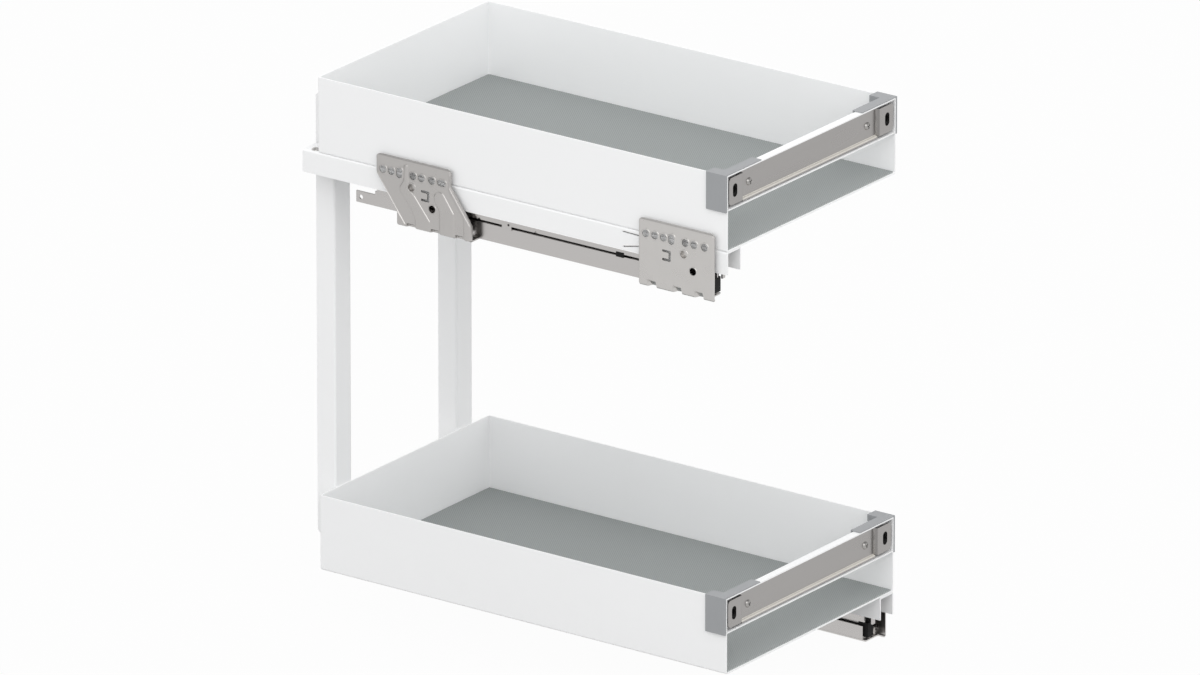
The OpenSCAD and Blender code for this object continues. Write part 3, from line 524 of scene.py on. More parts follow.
mat_maker = mat_tree()
# The grooves between the diamonds are painted darker, as painted shade.
grip_grey = darkened(surface("grey mat", (0.45, 0.479, 0.476), 0.55, grain_size=0.4, grain_depth=0.01,
                             cloud_size=60, cloud=0.015, specular=0.3), "groove", 0.55)
for level in ("upper", "lower"):
    low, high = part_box(level + "_mat")
    mat = linked(level + "_diamond_mat", bpy.data.meshes.new(level + "_diamond_mat"))
    grown(mat, mat_maker, {
        "Width": high.x - low.x, "Depth": high.y - low.y, "Thickness": high.z - low.z,
        "Pitch": mat_pitch * mm, "Relief": mat_relief * mm,
        "Middle": ((low.x + high.x) / 2, (low.y + high.y) / 2, low.z), "Finish": grip_grey})
    close_mat(mat.data, low.z)
    shade_round(mat, 50)
    finish_piece(mat, grip_grey, "rack", "grip_mat", level + "_mat")


# Front rails
# A white channel closes the upper half of each tray's open front, welded between the side
# walls with its hollow to the front. It is folded from the same sheet and coated with the tray.
front_rail_h, front_rail_d, front_bend = 32.0, 8.8, 1.4
front_mid_z = tray_h - front_rail_h / 2
strip_screw_inset, screw_d, screw_gap = 37.0, 4.0, 0.1
strip_screw_x = (strip_screw_inset, tray_w - strip_screw_inset)


def corner_turn(way_in, way_out):
    """The heading into a corner and the turn made there."""
    heading = math.atan2(way_in.y, way_in.x)
    return heading, (math.atan2(way_out.y, way_out.x) - heading + math.pi) % (2 * math.pi) - math.pi


def corner_arc(corner, way_in, heading, turn, radius, parts):
    """The arc that rounds a corner, as points with the heading at each."""
    side = math.copysign(1, turn)
    begin = corner - way_in * radius * math.tan(abs(turn) / 2)
    centre = begin + Vector((-way_in.y, way_in.x)) * radius * side
    return [(centre - Vector((-math.sin(angle), math.cos(angle))) * radius * side, angle)
            for angle in [heading + turn * k / parts for k in range(parts + 1)]]


def folded_section(path, sheet, bend, parts=5):
    """Outline of a sheet folded along the path of its middle; bend is the radius there."""
    middle = [Vector(point) for point in path]
    ways = [(after - before).normalized() for before, after in zip(middle, middle[1:])]
    line = [(middle[0], math.atan2(ways[0].y, ways[0].x))]
    for corner, way_in, way_out in zip(middle[1:], ways, ways[1:]):
        line += corner_arc(corner, way_in, *corner_turn(way_in, way_out), bend, parts)
    line.append((middle[-1], math.atan2(ways[-1].y, ways[-1].x)))
    across = [(point, Vector((-math.sin(angle), math.cos(angle))) * sheet / 2) for point, angle in line]
    return [tuple(p + n) for p, n in across] + [tuple(p - n) for p, n in reversed(across)]


def prism(outline, axis, start, end):
    """An outline drawn across an axis and given length along it."""
    turned = {"x": lambda u, v, w: (w, u, v), "y": lambda u, v, w: (u, w, v), "z": lambda u, v, w: (u, v, w)}
    n = len(outline)
    points = [turned[axis](u, v, w) for w in (start, end) for u, v in outline]
    return points, [tuple(range(n)), tuple(range(2 * n - 1, n - 1, -1))] + band(0, n, n)


def disc(u, v, d, run_u=0.0, run_v=0.0, parts=32):
    """A round outline, drawn out into a long one by a run either way."""
    outline = []
    for k in range(parts):
        angle = 2 * math.pi * (k + 0.5) / parts
        side_u, side_v = math.copysign(run_u / 2, math.cos(angle)), math.copysign(run_v / 2, math.sin(angle))
        outline.append((u + d / 2 * math.cos(angle) + side_u, v + d / 2 * math.sin(angle) + side_v))
    return outline


def outward(mesh):
    """The mesh with its doubles merged and its faces turned outwards."""
    with opened(mesh) as shape:
        bmesh.ops.remove_doubles(shape, verts=shape.verts, dist=0.002 * mm)
        bmesh.ops.recalc_face_normals(shape, faces=shape.faces)
    return mesh


def made(name, where, solids, cuts=()):
    """Solids joined into one piece, less the cuts; all are point and face lists in millimetres."""
    piece = linked(name, outward(mesh_at(name, *solids[0], where)))
    tools = []
    for kind, shapes in (("UNION", solids[1:]), ("DIFFERENCE", cuts)):
        for points, faces in shapes:
            tool = linked("tool", outward(mesh_at("tool", points, faces, where)))
            step = piece.modifiers.new(kind.lower(), "BOOLEAN")
            step.operation = kind
            step.solver = "MANIFOLD"
            step.object = tool
            tools.append(tool)
    plain_mesh(piece)
    for tool in tools:
        bpy.data.objects.remove(tool)
    outward(piece.data)
    return piece


foot, head, web = tray_h - front_rail_h + sheet / 2, tray_h - sheet / 2, front_rail_d - sheet / 2
for level in ("upper", "lower"):
    section = folded_section([(0, foot), (web, foot), (web, head), (0, head)], sheet, front_bend)
    channel = prism(section, "x", sheet, tray_w - sheet)
    holes = [prism(disc(x, front_mid_z, screw_d + screw_gap), "y", 0, 2 * front_rail_d)
             for x in strip_screw_x]
    rail = made(level + "_front_channel", corner_at(level), [channel], holes)
    soften(rail, 0.2)
    finish_piece(rail, white_paint, "rack", "white_steel", level + "_front_rail")


# Front strips
# Inside each front rail lies a strip of zinc-plated steel with a folded lower edge. Its
# ends step forward as tabs, each with an upright slot for the screw of a front panel.
strip_sheet, strip_recess, strip_gap = 1.5, 4.0, 0.8
strip_lip_out, strip_lip_h, strip_bend = 2.6, 2.4, 1.3
tab_step, tab_w, tab_h, tab_r, tab_gap = 3.5, 19.8, 24.8, 4.0, 2.0
tab_ramp, tab_bend, tab_clear, strip_lap = 1.2, 0.8, 0.4, 1.4
slot_inset, slot_w, slot_l = 12.0, 6.4, 12.0
strip_foot = tray_h - front_rail_h + sheet + strip_gap
strip_head = tray_h - sheet - strip_gap
tab_x, tab_foot = sheet + tab_gap, front_mid_z - tab_h / 2
ramp_x = tab_x + tab_w
end_x = ramp_x + tab_ramp + strip_lap / 2


def rounded(corners, radius, step=15):
    """A closed outline with each corner turned into an arc; radius is one number or one a corner."""
    count, outline = len(corners), []
    for i, corner in enumerate(corners):
        r = radius[i] if isinstance(radius, (list, tuple)) else radius
        here, before, after = Vector(corner), Vector(corners[i - 1]), Vector(corners[(i + 1) % count])
        way_in, way_out = (here - before).normalized(), (after - here).normalized()
        heading, turn = corner_turn(way_in, way_out)
        reach = min((here - before).length, (after - here).length) * 0.49
        r = min(r, reach / max(1e-6, math.tan(abs(turn) / 2)))
        if r < 0.01:
            outline.append(tuple(here))
            continue
        parts = max(2, round(abs(math.degrees(turn)) / step))
        outline += [tuple(point) for point, _ in corner_arc(here, way_in, heading, turn, r, parts)]
    return outline


def rubbed(look, attribute, colour, metallic):
    """Paints a highlight into a metal where the piece's attribute is 1: paler and less metallic there, as
    painted light on a fold.
    """
    mark = recoloured(look, attribute, colour)
    duller = ranged(look.node_tree, mark, (0, 1), (1.0, metallic))
    set_inputs(look.node_tree.nodes["Principled BSDF"], {"Metallic": duller})


zinc_strip = surface("zinc strip", (0.365, 0.353, 0.345), 0.3, metallic=1.0, grain_size=0.4,
                     grain_depth=0.004, cloud_size=18, cloud=0.03, streak=(0.15, 1, 1))
# The fold of the lower ledge gets a painted highlight, paler and less metallic.
# The strip's top fold and its tab ramps are painted darker, as painted shade.
rubbed(darkened(zinc_strip, "creased", 0.3), "rubbed", (0.72, 0.695, 0.64), 0.35)


def strip_parts():
    """The strip between its tabs, and the two tabs, each stepped forward over a short ramp."""
    web, lip = strip_recess + strip_sheet / 2, strip_recess - strip_lip_out + strip_sheet / 2
    head, ledge = strip_head - strip_sheet / 2, strip_foot + strip_lip_h - strip_sheet / 2
    section = folded_section([(front_rail_d - sheet, head), (web, head), (web, ledge), (lip, ledge),
                              (lip, strip_foot)], strip_sheet, strip_bend)
    solids = [prism(section, "x", end_x, tray_w - end_x)]
    face = strip_recess - tab_step + strip_sheet / 2
    path = [(tab_x, face), (ramp_x, face), (ramp_x + tab_ramp, web), (ramp_x + tab_ramp + strip_lap, web)]
    for way in (path, [(tray_w - x, y) for x, y in path]):
        solids.append(prism(folded_section(way, strip_sheet, tab_bend, 2), "z", tab_foot, tab_foot + tab_h))
    return solids


def strip_cuts():
    """The slots, the screw holes, and what rounds the outer corners of the tabs."""
    through = ("y", -1, 2 * front_rail_d)
    cuts = [prism(disc(x, front_mid_z, slot_w, 0, slot_l - slot_w), *through)
            for x in (slot_inset, tray_w - slot_inset)]
    cuts += [prism(disc(x, front_mid_z, screw_d + screw_gap), *through) for x in strip_screw_x]
    for edge, way_x in ((tab_x, -1), (tray_w - tab_x, 1)):
        for end, way_z in ((tab_foot, -1), (tab_foot + tab_h, 1)):
            x, z = edge - way_x * tab_r, end - way_z * tab_r
            arc = [(x + way_x * tab_r * math.cos(a), z + way_z * tab_r * math.sin(a))
                   for a in [math.pi / 2 * k / 6 for k in range(7)]]
            corner = [(x, end + way_z), (edge + way_x, end + way_z), (edge + way_x, z)]
            cuts.append(prism(arc + corner, "y", -1, strip_recess + tab_clear))
    return cuts


# How deep and how dark the painted shade runs at the top fold and over the tab ramps.
fold_h, fold_shade, ramp_shade, ramp_reach, float_slack = 0.8, 1.0, 0.42, 0.4, 0.01
for level in ("upper", "lower"):
    where = corner_at(level)
    strip = made(level + "_panel_strip", where, strip_parts(), strip_cuts())
    pale, dark = [], []
    for point in strip.data.vertices:
        x, y, z = ((point.co[k] - where[k]) / mm for k in range(3))
        from_end = min(x, tray_w - x)
        folded = from_end > end_x - float_slack
        ledge = y < strip_recess - float_slack and abs(z - strip_foot - strip_lip_h) < strip_bend
        ramp = -ramp_reach < from_end - ramp_x < tab_ramp + ramp_reach
        # the painted highlight goes on the ledge fold between the tabs
        pale.append(float(ledge and folded))
        # painted shade at the top fold and over the tab ramps
        dark.append(fold_shade if folded and z > strip_head - fold_h else ramp_shade * ramp)
    for name, values in (("rubbed", pale), ("creased", dark)):
        strip.data.attributes.new(name, "FLOAT", "POINT").data.foreach_set("value", values)
    soften(strip, 0.18)
    finish_piece(strip, zinc_strip, "rack", "zinc_steel", level + "_front_strip")


# Panel clips
# A black moulded clip sits behind each end tab, in the hollow of the front rail, and takes
# the screw of the front panel.
black_plastic = surface("black plastic", (0.009, 0.009, 0.009), 0.5, grain_size=0.4,
                        grain_depth=0.01, cloud_size=20, cloud=0.1, specular=0.12)


def dress_node(node, name, radius, material, body, slot, parts=2):
    """A copy of a solid, its doubles merged, its flat faces whole and its edges rounded, takes its place."""
    piece = linked(name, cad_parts[node].data.copy())
    with opened(piece.data) as shape:
        bmesh.ops.remove_doubles(shape, verts=shape.verts, dist=0.003 * mm)
        bmesh.ops.dissolve_limit(shape, angle_limit=math.radians(0.4), use_dissolve_boundaries=False,
                                 verts=shape.verts, edges=shape.edges)
    soften(piece, radius, parts)
    finish_piece(piece, material, body, slot, node)


for level in ("upper", "lower"):
    dress_node(level + "_panel_clips", level + "_black_panel_clips", 0.25, black_plastic, "rack",
               "black_plastic")


# Strip screws
# Two domed cross-head screws hold each strip in its front rail. They are bright zinc-plated
# steel, driven from the front through strip and rail.
screw_head_d, head_sink = 7.6, 1.4
cross_turns, cross_l, cross_w, cross_deep, cross_taper = (20, 110), 4.6, 1.15, 1.5, 0.55
# The cross recess is painted almost black, as painted shade.
# The screws are the bright steel of the studs, coloured darker overall as painted shade.
screw_steel = darkened(surface("screw steel", (0.36, 0.35, 0.34), 0.2, metallic=1.0, grain_size=0.3,
                               grain_depth=0.002, cloud_size=6, cloud=0.05), "recess", 0.06)


def cross_bar(turn, top):
    """One arm of the cross recess, narrowing with its depth."""
    way = Vector((math.cos(math.radians(turn)), math.sin(math.radians(turn))))
    side = Vector((-way.y, way.x))
    points = []
    for z, share in ((top - 0.5, 1.0), (top + cross_deep, cross_taper)):
        for a, b in ((-1, -1), (1, -1), (1, 1), (-1, 1)):
            spot = way * a * cross_l / 2 * share + side * b * cross_w / 2 * share
            points.append((spot.x, spot.y, z))
    return points, [(0, 1, 2, 3), (7, 6, 5, 4)] + band(0, 4, 4)


def domed_screw_mesh():
    """A screw along Z from the face it is driven into: its dome below, its shank above."""
    r, shank = screw_head_d / 2, front_rail_d - strip_recess
    edge = math.acos(head_sink / r)
    dome = [(r * math.sin(edge * k / 8), head_sink - r * math.cos(edge * k / 8)) for k in range(9)]
    profile = dome + [(dome[-1][0], 0.0), (screw_d / 2, 0.0), (screw_d / 2, shank), (0, shank)]
    head = made("screw head", (0, 0, 0, 1), [spun(profile)],
                [cross_bar(turn, dome[0][1]) for turn in cross_turns])
    mesh = head.data
    bpy.data.objects.remove(head)
    # points inside the cross recess are marked, and the finish paints them almost black as painted shade
    middle = Vector((0, 0, head_sink)) * mm
    inner = [point.co.z < 0 and (point.co - middle).length < (r - 0.1) * mm and
             math.hypot(point.co.x, point.co.y) < cross_l / 2 * mm for point in mesh.vertices]
    mesh.attributes.new("recess", "FLOAT", "POINT").data.foreach_set("value", [float(deep) for deep in inner])
    return mesh


for level in ("upper", "lower"):
    x0, y0, z0, _ = corner_at(level)
    places = [(x0 + x * mm, y0 + strip_recess * mm, z0 + front_mid_z * mm) for x in strip_screw_x]
    screws = set_out(level + "_domed_screws", domed_screw_mesh(), places, [rearward] * 2, screw_steel)
    finish_piece(screws, screw_steel, "rack", "bright_steel", level + "_strip_screws")


# Corner caps
# Grey moulded plastic caps clip over the trays' four front corners. Each has a flange down the
# side wall and lips that drop behind the front rail and inside the side wall.
grey_plastic = surface("grey moulded plastic", (0.318, 0.327, 0.338), 0.45, grain_size=0.35,
                       grain_depth=0.012, cloud_size=30, cloud=0.012)
for corner in ("upper_left", "upper_right", "lower_left", "lower_right"):
    dress_node(corner + "_cap", corner + "_corner_cap", 0.35, grey_plastic, "rack", "grey_plastic", 3)


# Beams
# A folded channel runs along under one side of each tray, open downwards, and carries the
# runner inside it. It is white coated steel, screwed to the runner through its top.
beam_w, beam_h, beam_over, beam_bend = 20.0, 20.7, 16.5, 1.25
run_x, drawer_rail_y = beam_w / 2, 12.0
screw_rows, end_screw = (16.0, 216.0), (5.0, tray_d + 6.0)
sink_past, sink_wide, sink_rise = 0.2, 0.25, 0.05
tongue_y, tongue_l, tongue_cut, tongue_edges = 86.0, 24.0, 1.3, ((-5.0, 1.5), (-13.0, -12.0))
runners = {"left": "upper", "right": "lower"}


def countersink(x, y):
    """A cone through the beam's top for a flat screw head, driven from above."""
    foot, reach = -frame_sheet - sink_past, screw_d / 2 + frame_sheet + sink_wide
    points, faces = spun([(0, foot), (screw_d / 2, foot), (reach, sink_rise), (0, sink_rise)])
    return [(px + x, py + y, z) for px, py, z in points], faces


def tilted_block(y, z, tilt):
    """A cut through the beam's side, sloping along its length."""
    lean = math.radians(tilt)
    outline = [(y + a * math.cos(lean) - b * math.sin(lean), z + a * math.sin(lean) + b * math.cos(lean))
               for a, b in ((0, 0), (tongue_l, 0), (tongue_l, tongue_cut), (0, tongue_cut))]
    return prism(rounded(outline, 0.5), "x", -1, frame_sheet + 1)


rail_screws = [(run_x, drawer_rail_y + row) for row in screw_rows]
half = frame_sheet / 2
for side, level in runners.items():
    section = folded_section([(half, -beam_h), (half, -half), (beam_w - half, -half),
                              (beam_w - half, -beam_h)], frame_sheet, beam_bend)
    cuts = [prism(disc(x, y, screw_d + screw_gap), "z", -3, 1) for x, y in rail_screws + [end_screw]]
    cuts += [countersink(x, y) for x, y in rail_screws]
    cuts += [tilted_block(tongue_y, z, tilt) for z, tilt in tongue_edges]
    beam = made(side + "_channel_beam", corner_at(level, side),
                [prism(section, "y", 0, tray_d + beam_over)], cuts)
    soften(beam, 0.2)
    finish_piece(beam, white_paint, "rack", "white_steel", side + "_beam")


# Posts
# Two folded channels stand behind the trays and join them, open to the back, with the rear
# corners of their flanges cut off. They are white coated steel with a hole for each stud.
post_d, post_chamfer, stud_gap, post_bend = 19.7, 5.0, 0.25, 1.6
tray_pitch = (tray_low.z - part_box("lower_tray")[0].z) / mm
x0, y0, z0, _ = corner_at("lower")
foot, head = post_foot_z, tray_pitch + post_head_z
for side, inset_x in (("left", post_inset), ("right", tray_w - post_inset - post_w)):
    section = folded_section([(half, post_d), (half, half), (post_w - half, half), (post_w - half, post_d)],
                             frame_sheet, post_bend)
    cuts = [prism(disc(post_w / 2, z, stud_d + 2 * stud_gap), "y", -2, 4)
            for z in (foot + stud_rise, head - stud_rise)]
    for z, end in ((foot, 1), (head, -1)):
        cuts.append(prism([(post_d - post_chamfer, z), (post_d + 1, z + end * (post_chamfer + 1)),
                           (post_d + 1, z - end), (post_d - post_chamfer - 1, z - end)], "x", -1, post_w + 1))
    post = made(side + "_channel_post", (x0 + inset_x * mm, y0 + tray_d * mm, z0, 1),
                [prism(section, "z", foot, head)], cuts)
    soften(post, 0.2)
    finish_piece(post, white_paint, "rack", "white_steel", side + "_post")


# Drawer rails
# The rail screwed up into each beam is an upside-down channel of zinc-plated steel, whose
# flanges are rolled to hold the upper balls. A black plastic stop is clipped under its edge.
zinc_rail = surface("zinc rail", (0.50, 0.485, 0.475), 0.24, metallic=1.0, grain_size=0.5,
                    grain_depth=0.004, cloud_size=22, cloud=0.03, streak=(1, 0.12, 1))
for side in runners:
    dress_node(side + "_drawer_rail", side + "_folded_drawer_rail", 0.3, zinc_rail, "rack", "zinc_steel")
    dress_node(side + "_rail_stop", side + "_clipped_stop", 0.25, black_plastic, "rack", "black_plastic")
    dress_node(side + "_rail_screws", side + "_beam_screws", 0.15, bright_steel, "rack", "bright_steel")


# Runner plates
# A front and a rear plate carry each runner on the cabinet side. They are pressed from 2 mm
# zinc-plated steel: ribs and rings are raised towards the cabinet, the edges are rolled away
# from it, and the foot is bent in under the cabinet rail and riveted to it.
plate_sheet, boss_h, plate_top, plate_r = 1.9, 1.7, 15.2, 5.0
side_gap, front_hole_y, plate_pitch = 7.0, 40.0, 288.0
fix_hole_d, hole_row_z = 6.0, 2.0
# q runs along a plate from its main hole, and s up its flat blank before that is bent
row_q = (32.0, 23.0, 0.0, -9.0, -20.0)
vert_slot_q, vert_slot_d, slot_run = 14.5, 5.4, 3.0
front_extra_q, flat_slot_q, flat_slot_d = 41.5, -30.5, 5.0
peg_q, peg_z = 1.6, -10.8
hook_l, hook_h, hook_cut = 9.0, 10.0, 2.2
notch_l, notch_rise, notch_sink, notch_slant, notch_r = 10.0, 1.0, 1.0, 0.6, 0.8
foot_bend, flange_z, flange_in, flange_back = 3.0, -46.2, 16.0, 7.0
flange_r, foot_r, shoulder_r = 1.5, 0.8, 4.0
plate_face = boss_h - side_gap
top_bend, top_lip, edge_roll = 2.6, 3.3, 1.5
bend_length = foot_bend * math.pi / 2
foot_s = flange_z + foot_bend
bend_s = foot_s - bend_length
flange_s = bend_s - (flange_in - plate_face - foot_bend)
top_s = plate_top - top_bend + top_bend * math.pi / 2 + (top_lip - top_bend)
# above the foot the sheet is drawn thin, and its holes wide, so that they show as open
thin_sheet, hole_spread, hook_round = 0.8, 0.9, 1.1
ring_w, ring_h, ring_slope = 1.8, 0.5, 0.6
rib_h, rib_slope, rib_round = 1.0, 1.2, 2.6
peg_deep, peg_slope, guide_ring = 2.9, 0.35, 1.5
gusset_leg, gusset_side = 7.2, 1.3


def inside(points, outline):
    """Whether each point lies within a closed outline."""
    a = np.array(outline)
    b = np.roll(a, -1, axis=0)
    px, py = points[:, 0:1], points[:, 1:2]
    spans = (a[:, 1] > py) != (b[:, 1] > py)
    with np.errstate(divide="ignore", invalid="ignore"):
        cross = (b[:, 0] - a[:, 0]) * (py - a[:, 1]) / (b[:, 1] - a[:, 1]) + a[:, 0]
    return (np.sum(spans & (px < cross), axis=1) % 2) == 1


def depth_in(points, outline):
    """How far inside an outline each point lies; negative outside."""
    a = np.array(outline)
    ab = np.roll(a, -1, axis=0) - a
    ap = points[:, None, :] - a[None, :, :]
    t = np.clip(np.sum(ap * ab, axis=2) / np.maximum(1e-9, np.sum(ab * ab, axis=1)), 0, 1)
    gap = np.sqrt(np.min(np.sum((ap - t[..., None] * ab) ** 2, axis=2), axis=1))
    return np.where(inside(points, outline), gap, -gap)


def inset(outline, gap):
    """The outline drawn in by a gap, or out where the gap is negative."""
    area = sum(a[0] * b[1] - b[0] * a[1] for a, b in zip(outline, outline[1:] + outline[:1]))
    turn = math.copysign(1, area)
    drawn = []
    for before, here, after in zip(outline[-1:] + outline[:-1], outline, outline[1:] + outline[:1]):
        way_in = (Vector(here) - Vector(before)).normalized()
        way_out = (Vector(after) - Vector(here)).normalized()
        mean = Vector((-way_in.y - way_out.y, way_in.x + way_out.x)) * turn
        scale = mean.length_squared / 2
        drawn.append(tuple(Vector(here) + mean * gap / max(scale, 0.5)))
    return drawn


def plate_surface(points):
    """Where a point of the flat blank, along Y and up the sheet, lies on the bent plate, and the
    way out of the sheet there."""
    y, s = points[:, 0], points[:, 1]
    x, z = np.full_like(s, plate_face), s.copy()
    out_x, out_z = np.full_like(s, -1.0), np.zeros_like(s)
    for start, way, radius in ((foot_s, -1, foot_bend), (plate_top - top_bend, 1, top_bend)):
        beyond = (s - start) * way
        bent = beyond > 0
        angle = np.clip(beyond / radius, 0, math.pi / 2)
        past = np.maximum(0, beyond - radius * math.pi / 2)
        x[bent] = (plate_face + radius * (1 - np.cos(angle)) + past)[bent]
        z[bent] = (start + way * radius * np.sin(angle))[bent]
        out_x[bent] = -np.cos(angle)[bent]
        out_z[bent] = way * np.sin(angle)[bent]
    return x, y, z, out_x, out_z


def flat_blank(border, holes, rings, rows):
    """The flat blank as points and triangles, with an edge along every ring and row."""
    left, right = min(p[0] for p in border) - 1, max(p[0] for p in border) + 1
    points, edges = [], []
    for ring in rings:
        first = len(points)
        points += ring
        edges += [(first + k, first + (k + 1) % len(ring)) for k in range(len(ring))]
    for s in rows:
        edges.append((len(points), len(points) + 1))
        points += [(left, s), (right, s)]
    spots, _, faces, *_ = delaunay_2d_cdt([Vector(p) for p in points], edges, [], 0, 1e-4)
    flat = np.array([(p.x, p.y) for p in spots])
    faces = np.array([list(face) for face in faces])
    middles = flat[faces].mean(axis=1)
    kept = inside(middles, border)
    for hole in holes:
        kept &= ~inside(middles, hole)
    return flat, faces[kept]


def pressed_out(flat, raised, out_x):
    """How far each point is pressed out of the sheet, which fades over the bends, or into it."""
    lift = np.zeros(len(flat))
    for outline, height, slope in raised:
        share = np.clip(depth_in(flat, outline) / slope, 0, 1)
        pressed = height * share * share * (3 - 2 * share)
        lift = np.maximum(lift, pressed) if height > 0 else lift + pressed
    return np.where(lift > 0, lift * out_x ** 2, lift)


def closed_sheet(faces, sides):
    """A sheet from its outer and its inner side, with a wall along every open edge."""
    used = np.unique(faces)
    order = np.full(len(sides[0]), -1)
    order[used] = np.arange(len(used))
    faces, count = order[faces], len(used)
    walls = [(b, a, a + count, b + count) for a, b in open_edges(faces)]
    spots = np.concatenate([side[used] for side in sides])
    return spots.tolist(), faces.tolist() + (faces[:, ::-1] + count).tolist() + walls


def pressed_plate(name, where, border, holes, raised, gussets):
    """The plate as a closed sheet: its border, its holes, its pressed shapes, each with its
    height, negative where it is pressed in, and the width of its slope, and its gussets."""
    rolls = [inset(border, edge_roll * share) for share in (0.12, 0.3, 0.55, 1.0)]
    rings = [border] + rolls + holes
    for outline, _, slope in raised:
        rings += [outline] + [inset(outline, slope * share) for share in (0.33, 0.67, 1)]
    head, foot = flange_z + gusset_leg, bend_s - (gusset_leg - foot_bend)
    for y in gussets:
        rings += [[(y + gap, foot), (y + notch_l - gap, foot), (y + notch_l - gap, head), (y + gap, head)]
                  for gap in (0, gusset_side)]
    rows = [foot_s - bend_length * k / 6 for k in range(7)]
    rows += [plate_top - top_bend + top_bend * math.pi / 2 * k / 6 for k in range(7)]
    flat, faces = flat_blank(border, holes, rings, rows)
    x, y, z, out_x, out_z = plate_surface(flat)
    lift = pressed_out(flat, raised, out_x)
    edge = np.clip(edge_roll - depth_in(flat, border), 0, edge_roll)
    roll = edge_roll - np.sqrt(np.maximum(0, edge_roll ** 2 - edge ** 2))
    upright = flat[:, 1] >= foot_s
    sheet_here = np.where(upright, thin_sheet, plate_sheet)
    sides = []
    for deep, leg in ((roll, gusset_leg),
                      (sheet_here + roll * upright, gusset_leg + sheet_here * math.sqrt(2))):
        side_x, side_z = x + out_x * (lift - deep), z + out_z * (lift - deep)
        for first in gussets:
            share = np.clip(np.minimum(y - first, first + notch_l - y) / gusset_side, 0, 1)
            proud = np.maximum(0, leg - (side_x - plate_face) - (side_z - flange_z))
            side_x, side_z = side_x + share * proud / 2, side_z + share * proud / 2
        sides.append(np.stack([side_x, y, side_z], axis=1))
    plate = linked(name, outward(mesh_at(name, *closed_sheet(faces, sides), where)))
    shade_round(plate, 50)
    even_shading(plate, 80)
    return plate


def row_holes(hole_y, extra):
    """The hole row and its upright slot, each with the diameter and run it has."""
    holes = [(hole_y + q, hole_row_z, fix_hole_d, 0, 0) for q in row_q + extra]
    holes.append((hole_y + vert_slot_q, hole_row_z, vert_slot_d, 0, slot_run))
    return holes


def hook_outline(y, z):
    """The hooked slot through a plate, open to the back."""
    return [(y, z), (y + hook_l, z), (y + hook_l, z + hook_cut), (y + hook_cut, z + hook_cut),
            (y + hook_cut, z + hook_h - hook_cut), (y + hook_l, z + hook_h - hook_cut),
            (y + hook_l, z + hook_h), (y, z + hook_h)]


def dressed_plate(name, where, hole_y, border, notches, gussets, places, guide, hook, ribs):
    """A plate with its holes, its blind peg hole, its guide hole and hooked slot, and its ribs.
    Notches cut the bend away, and gussets are pressed into it."""
    holes = [disc(y, z, d + hole_spread, run_y, run_z) for y, z, d, run_y, run_z in places]
    guide_y, guide_z = hole_y + guide[0], hole_row_z + guide[1]
    holes.append(disc(guide_y, guide_z, fix_hole_d + hole_spread))
    holes.append(rounded(hook_outline(hole_y + hook[0], hole_row_z + hook[1]), hook_round))
    for q in notches:
        y, head, foot = hole_y + q, foot_s + notch_rise, bend_s - notch_sink
        holes.append(rounded([(y + notch_slant, head), (y + notch_l - notch_slant, head),
                              (y + notch_l, foot), (y, foot)], notch_r))
    peg = (hole_y + peg_q, hole_row_z + peg_z)
    raised = [(disc(y, z, d + 2 * ring_w, run_y, run_z, 40), ring_h, ring_slope)
              for y, z, d, run_y, run_z in places + [(*peg, fix_hole_d, 0, 0)]]
    raised.append((disc(guide_y, guide_z, fix_hole_d + 2 * guide_ring), ring_h, ring_slope))
    raised += [(rounded(rib, rib_round), rib_h, rib_slope) for rib in ribs]
    raised.append((disc(*peg, fix_hole_d + hole_spread), -peg_deep, peg_slope))
    return pressed_plate(name, where, border, holes, raised, [hole_y + q for q in gussets])


front_plate_q, front_gusset_q = (-29.4, 49.5), (-18.9, 3.8, 30.5)
front_guide, front_hook = (-8.1, -24.3), (15.4, -20.7)
y0, y1 = front_hole_y + front_plate_q[0], front_hole_y + front_plate_q[1]
front_border = rounded([(y0 + flange_back, flange_s), (y1, flange_s), (y1, top_s), (y0, top_s),
                        (y0, bend_s), (y0 + flange_back, bend_s)],
                       [flange_r, flange_r, plate_r, plate_r, foot_r, foot_r])
front_form = (front_hole_y, front_border, [], front_gusset_q, row_holes(front_hole_y, (front_extra_q,)),
              front_guide, front_hook, [])

rear_top_q, rear_foot_q = (-39.5, 39.8), (-61.7, 17.7)
rear_shoulder_z, rear_knee_z = (0.0, -2.0), (-31.0, -33.0)
rear_guide, rear_hook, rear_notch_q = (-20.4, -25.9), (-17.2, -20.7), (-2.2, -28.0, -54.1)
rib_end = bend_s - 2
rear_ribs = [
    [(39.8, -2), (17.7, -33), (17.7, rib_end), (7.8, rib_end), (7.8, -43.2), (38.2, -2)],
    [(9.9, 11), (10, -3), (14.5, -10), (14.1, -14), (1.3, -30), (-1.8, -37), (-2.2, rib_end),
     (-18.2, rib_end), (-18.6, -35.7), (-1.9, -15.2), (4, -11), (5.5, 12)],
    [(-28, rib_end), (-27.6, -23.8), (-22.2, -15.6), (-22.2, -11), (-24, -7.4), (-27.7, -6),
     (-31, -6.4), (-33.1, -8), (-44.1, -23.6), (-44.1, rib_end)],
    [(-54.1, rib_end), (-53.3, -25.8), (-37.8, -4.4), (-37.8, 11), (-39.5, 11), (-39.5, 0),
     (-61.7, -31), (-61.7, rib_end)]]
y = front_hole_y + plate_pitch
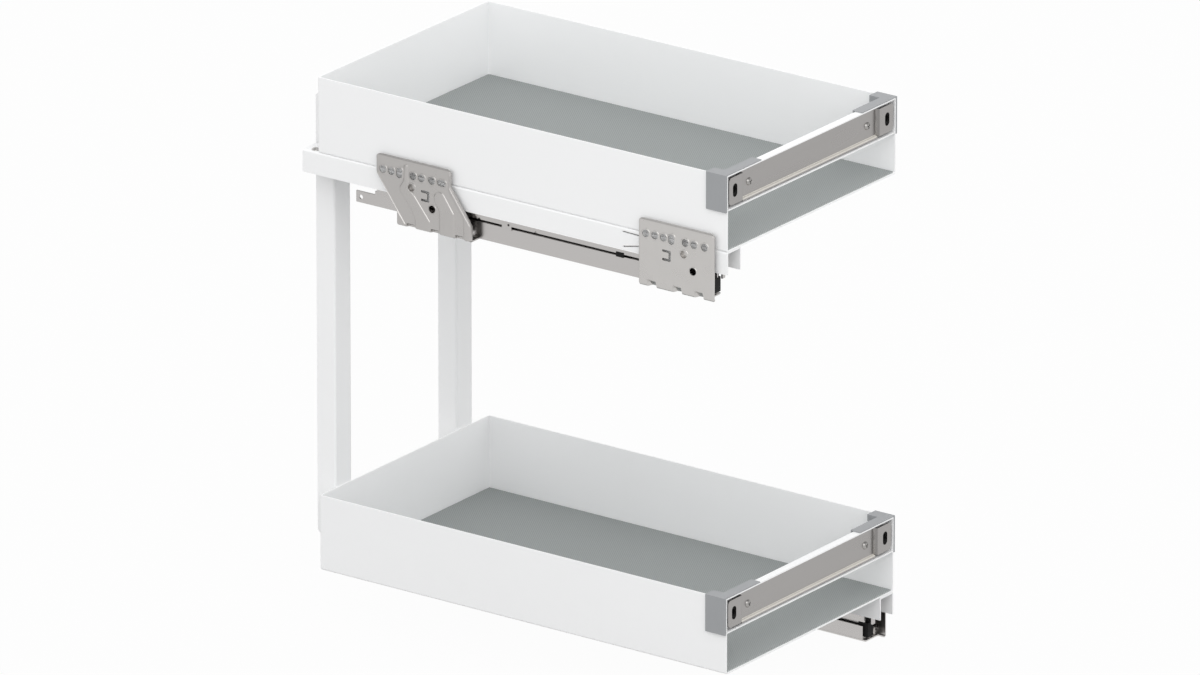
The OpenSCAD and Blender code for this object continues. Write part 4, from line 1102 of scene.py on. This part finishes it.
rear_border = rounded([(y + rear_foot_q[0], flange_s), (y + rear_foot_q[1], flange_s),
                       (y + rear_foot_q[1], rear_knee_z[1]), (y + rear_top_q[1], rear_shoulder_z[1]),
                       (y + rear_top_q[1], top_s), (y + rear_top_q[0], top_s),
                       (y + rear_top_q[0], rear_shoulder_z[0]), (y + rear_foot_q[0], rear_knee_z[0])],
                      [flange_r, flange_r, shoulder_r, shoulder_r, plate_r, plate_r, shoulder_r, shoulder_r])
rear_places = row_holes(y, ()) + [(y + flat_slot_q, hole_row_z, flat_slot_d, slot_run, 0)]
rear_form = (y, rear_border, rear_notch_q, [], rear_places, rear_guide, rear_hook,
             [[(y + q, z) for q, z in rib] for rib in rear_ribs])

# Front and rear plates are the same zinc; the rear plates' darker colour is painted shade.
zinc_front, zinc_rear = [surface(name, colour, 0.3, metallic=1.0, grain_size=0.5, grain_depth=0.005,
                                 cloud_size=14, cloud=0.03)
                         for name, colour in (("zinc front plate", (0.56, 0.545, 0.53)),
                                              ("zinc rear plate", (0.475, 0.46, 0.448)))]
for kind, look, form in (("front", zinc_front, front_form), ("rear", zinc_rear, rear_form)):
    for side, level in runners.items():
        plate = dressed_plate(f"{side}_pressed_{kind}_plate", corner_at(level, side), *form)
        finish_piece(plate, look, "cabinet", "zinc_steel", f"{side}_{kind}_plate")


# Cabinet rails
# The rail riveted to the plates' feet is an open channel of zinc-plated steel that holds the
# lower balls. Its outer wall runs on at the back as a narrow tail with a hole.
zinc_cabinet_rail = surface("zinc cabinet rail", (0.505, 0.49, 0.48), 0.24, metallic=1.0, grain_size=0.5,
                            grain_depth=0.004, cloud_size=22, cloud=0.03, streak=(1, 0.12, 1))
for side in runners:
    dress_node(side + "_cabinet_rail", side + "_folded_cabinet_rail", 0.3, zinc_cabinet_rail, "cabinet",
               "zinc_steel")
    dress_node(side + "_plate_rivets", side + "_flush_rivets", 0.15, bright_steel, "cabinet", "bright_steel")


# Middle rails
# Between the two outer rails runs a folded hollow rail, broad above and narrow below, which
# moves half as far as the rack. A black plastic cap closes its front end.
for side in runners:
    dress_node(side + "_middle_rail", side + "_hollow_middle_rail", 0.3, zinc_rail, side + "_middle",
               "zinc_steel")
    dress_node(side + "_middle_cap", side + "_middle_end_cap", 0.4, black_plastic, side + "_middle",
               "black_plastic", 3)


# Balls and cages
# Two rows of steel balls run on each side of the middle rail, above and below. A folded strip
# with a round pocket for every ball keeps each pair of rows apart.
ball_pitch, ball_parts = 12.0, 16


def ball_mesh(d):
    """A ball of few faces, spun pole to pole."""
    arc = [math.pi * k / ball_parts for k in range(1, ball_parts)]
    profile = [(0, -d / 2)] + [(d / 2 * math.sin(a), -d / 2 * math.cos(a)) for a in arc] + [(0, d / 2)]
    return part_mesh("ball", *spun(profile, 24))


for row in [f"{side}_{place}" for side in runners for place in ("lower", "upper")]:
    low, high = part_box(row + "_balls")
    d = high.z - low.z
    first, last = low.y + d / 2, high.y - d / 2
    count = round((last - first) / (ball_pitch * mm)) + 1
    places = [(x, first + k * ball_pitch * mm, (low.z + high.z) / 2)
              for x in (low.x + d / 2, high.x - d / 2) for k in range(count)]
    balls = set_out(row + "_steel_balls", ball_mesh(d / mm), places, [(0, 0, 0)] * len(places), bright_steel)
    finish_piece(balls, bright_steel, row + "_carriage", "bright_steel", row + "_balls")
    dress_node(row + "_cage", row + "_ball_cage", 0.15, bright_steel, row + "_carriage", "bright_steel", 1)
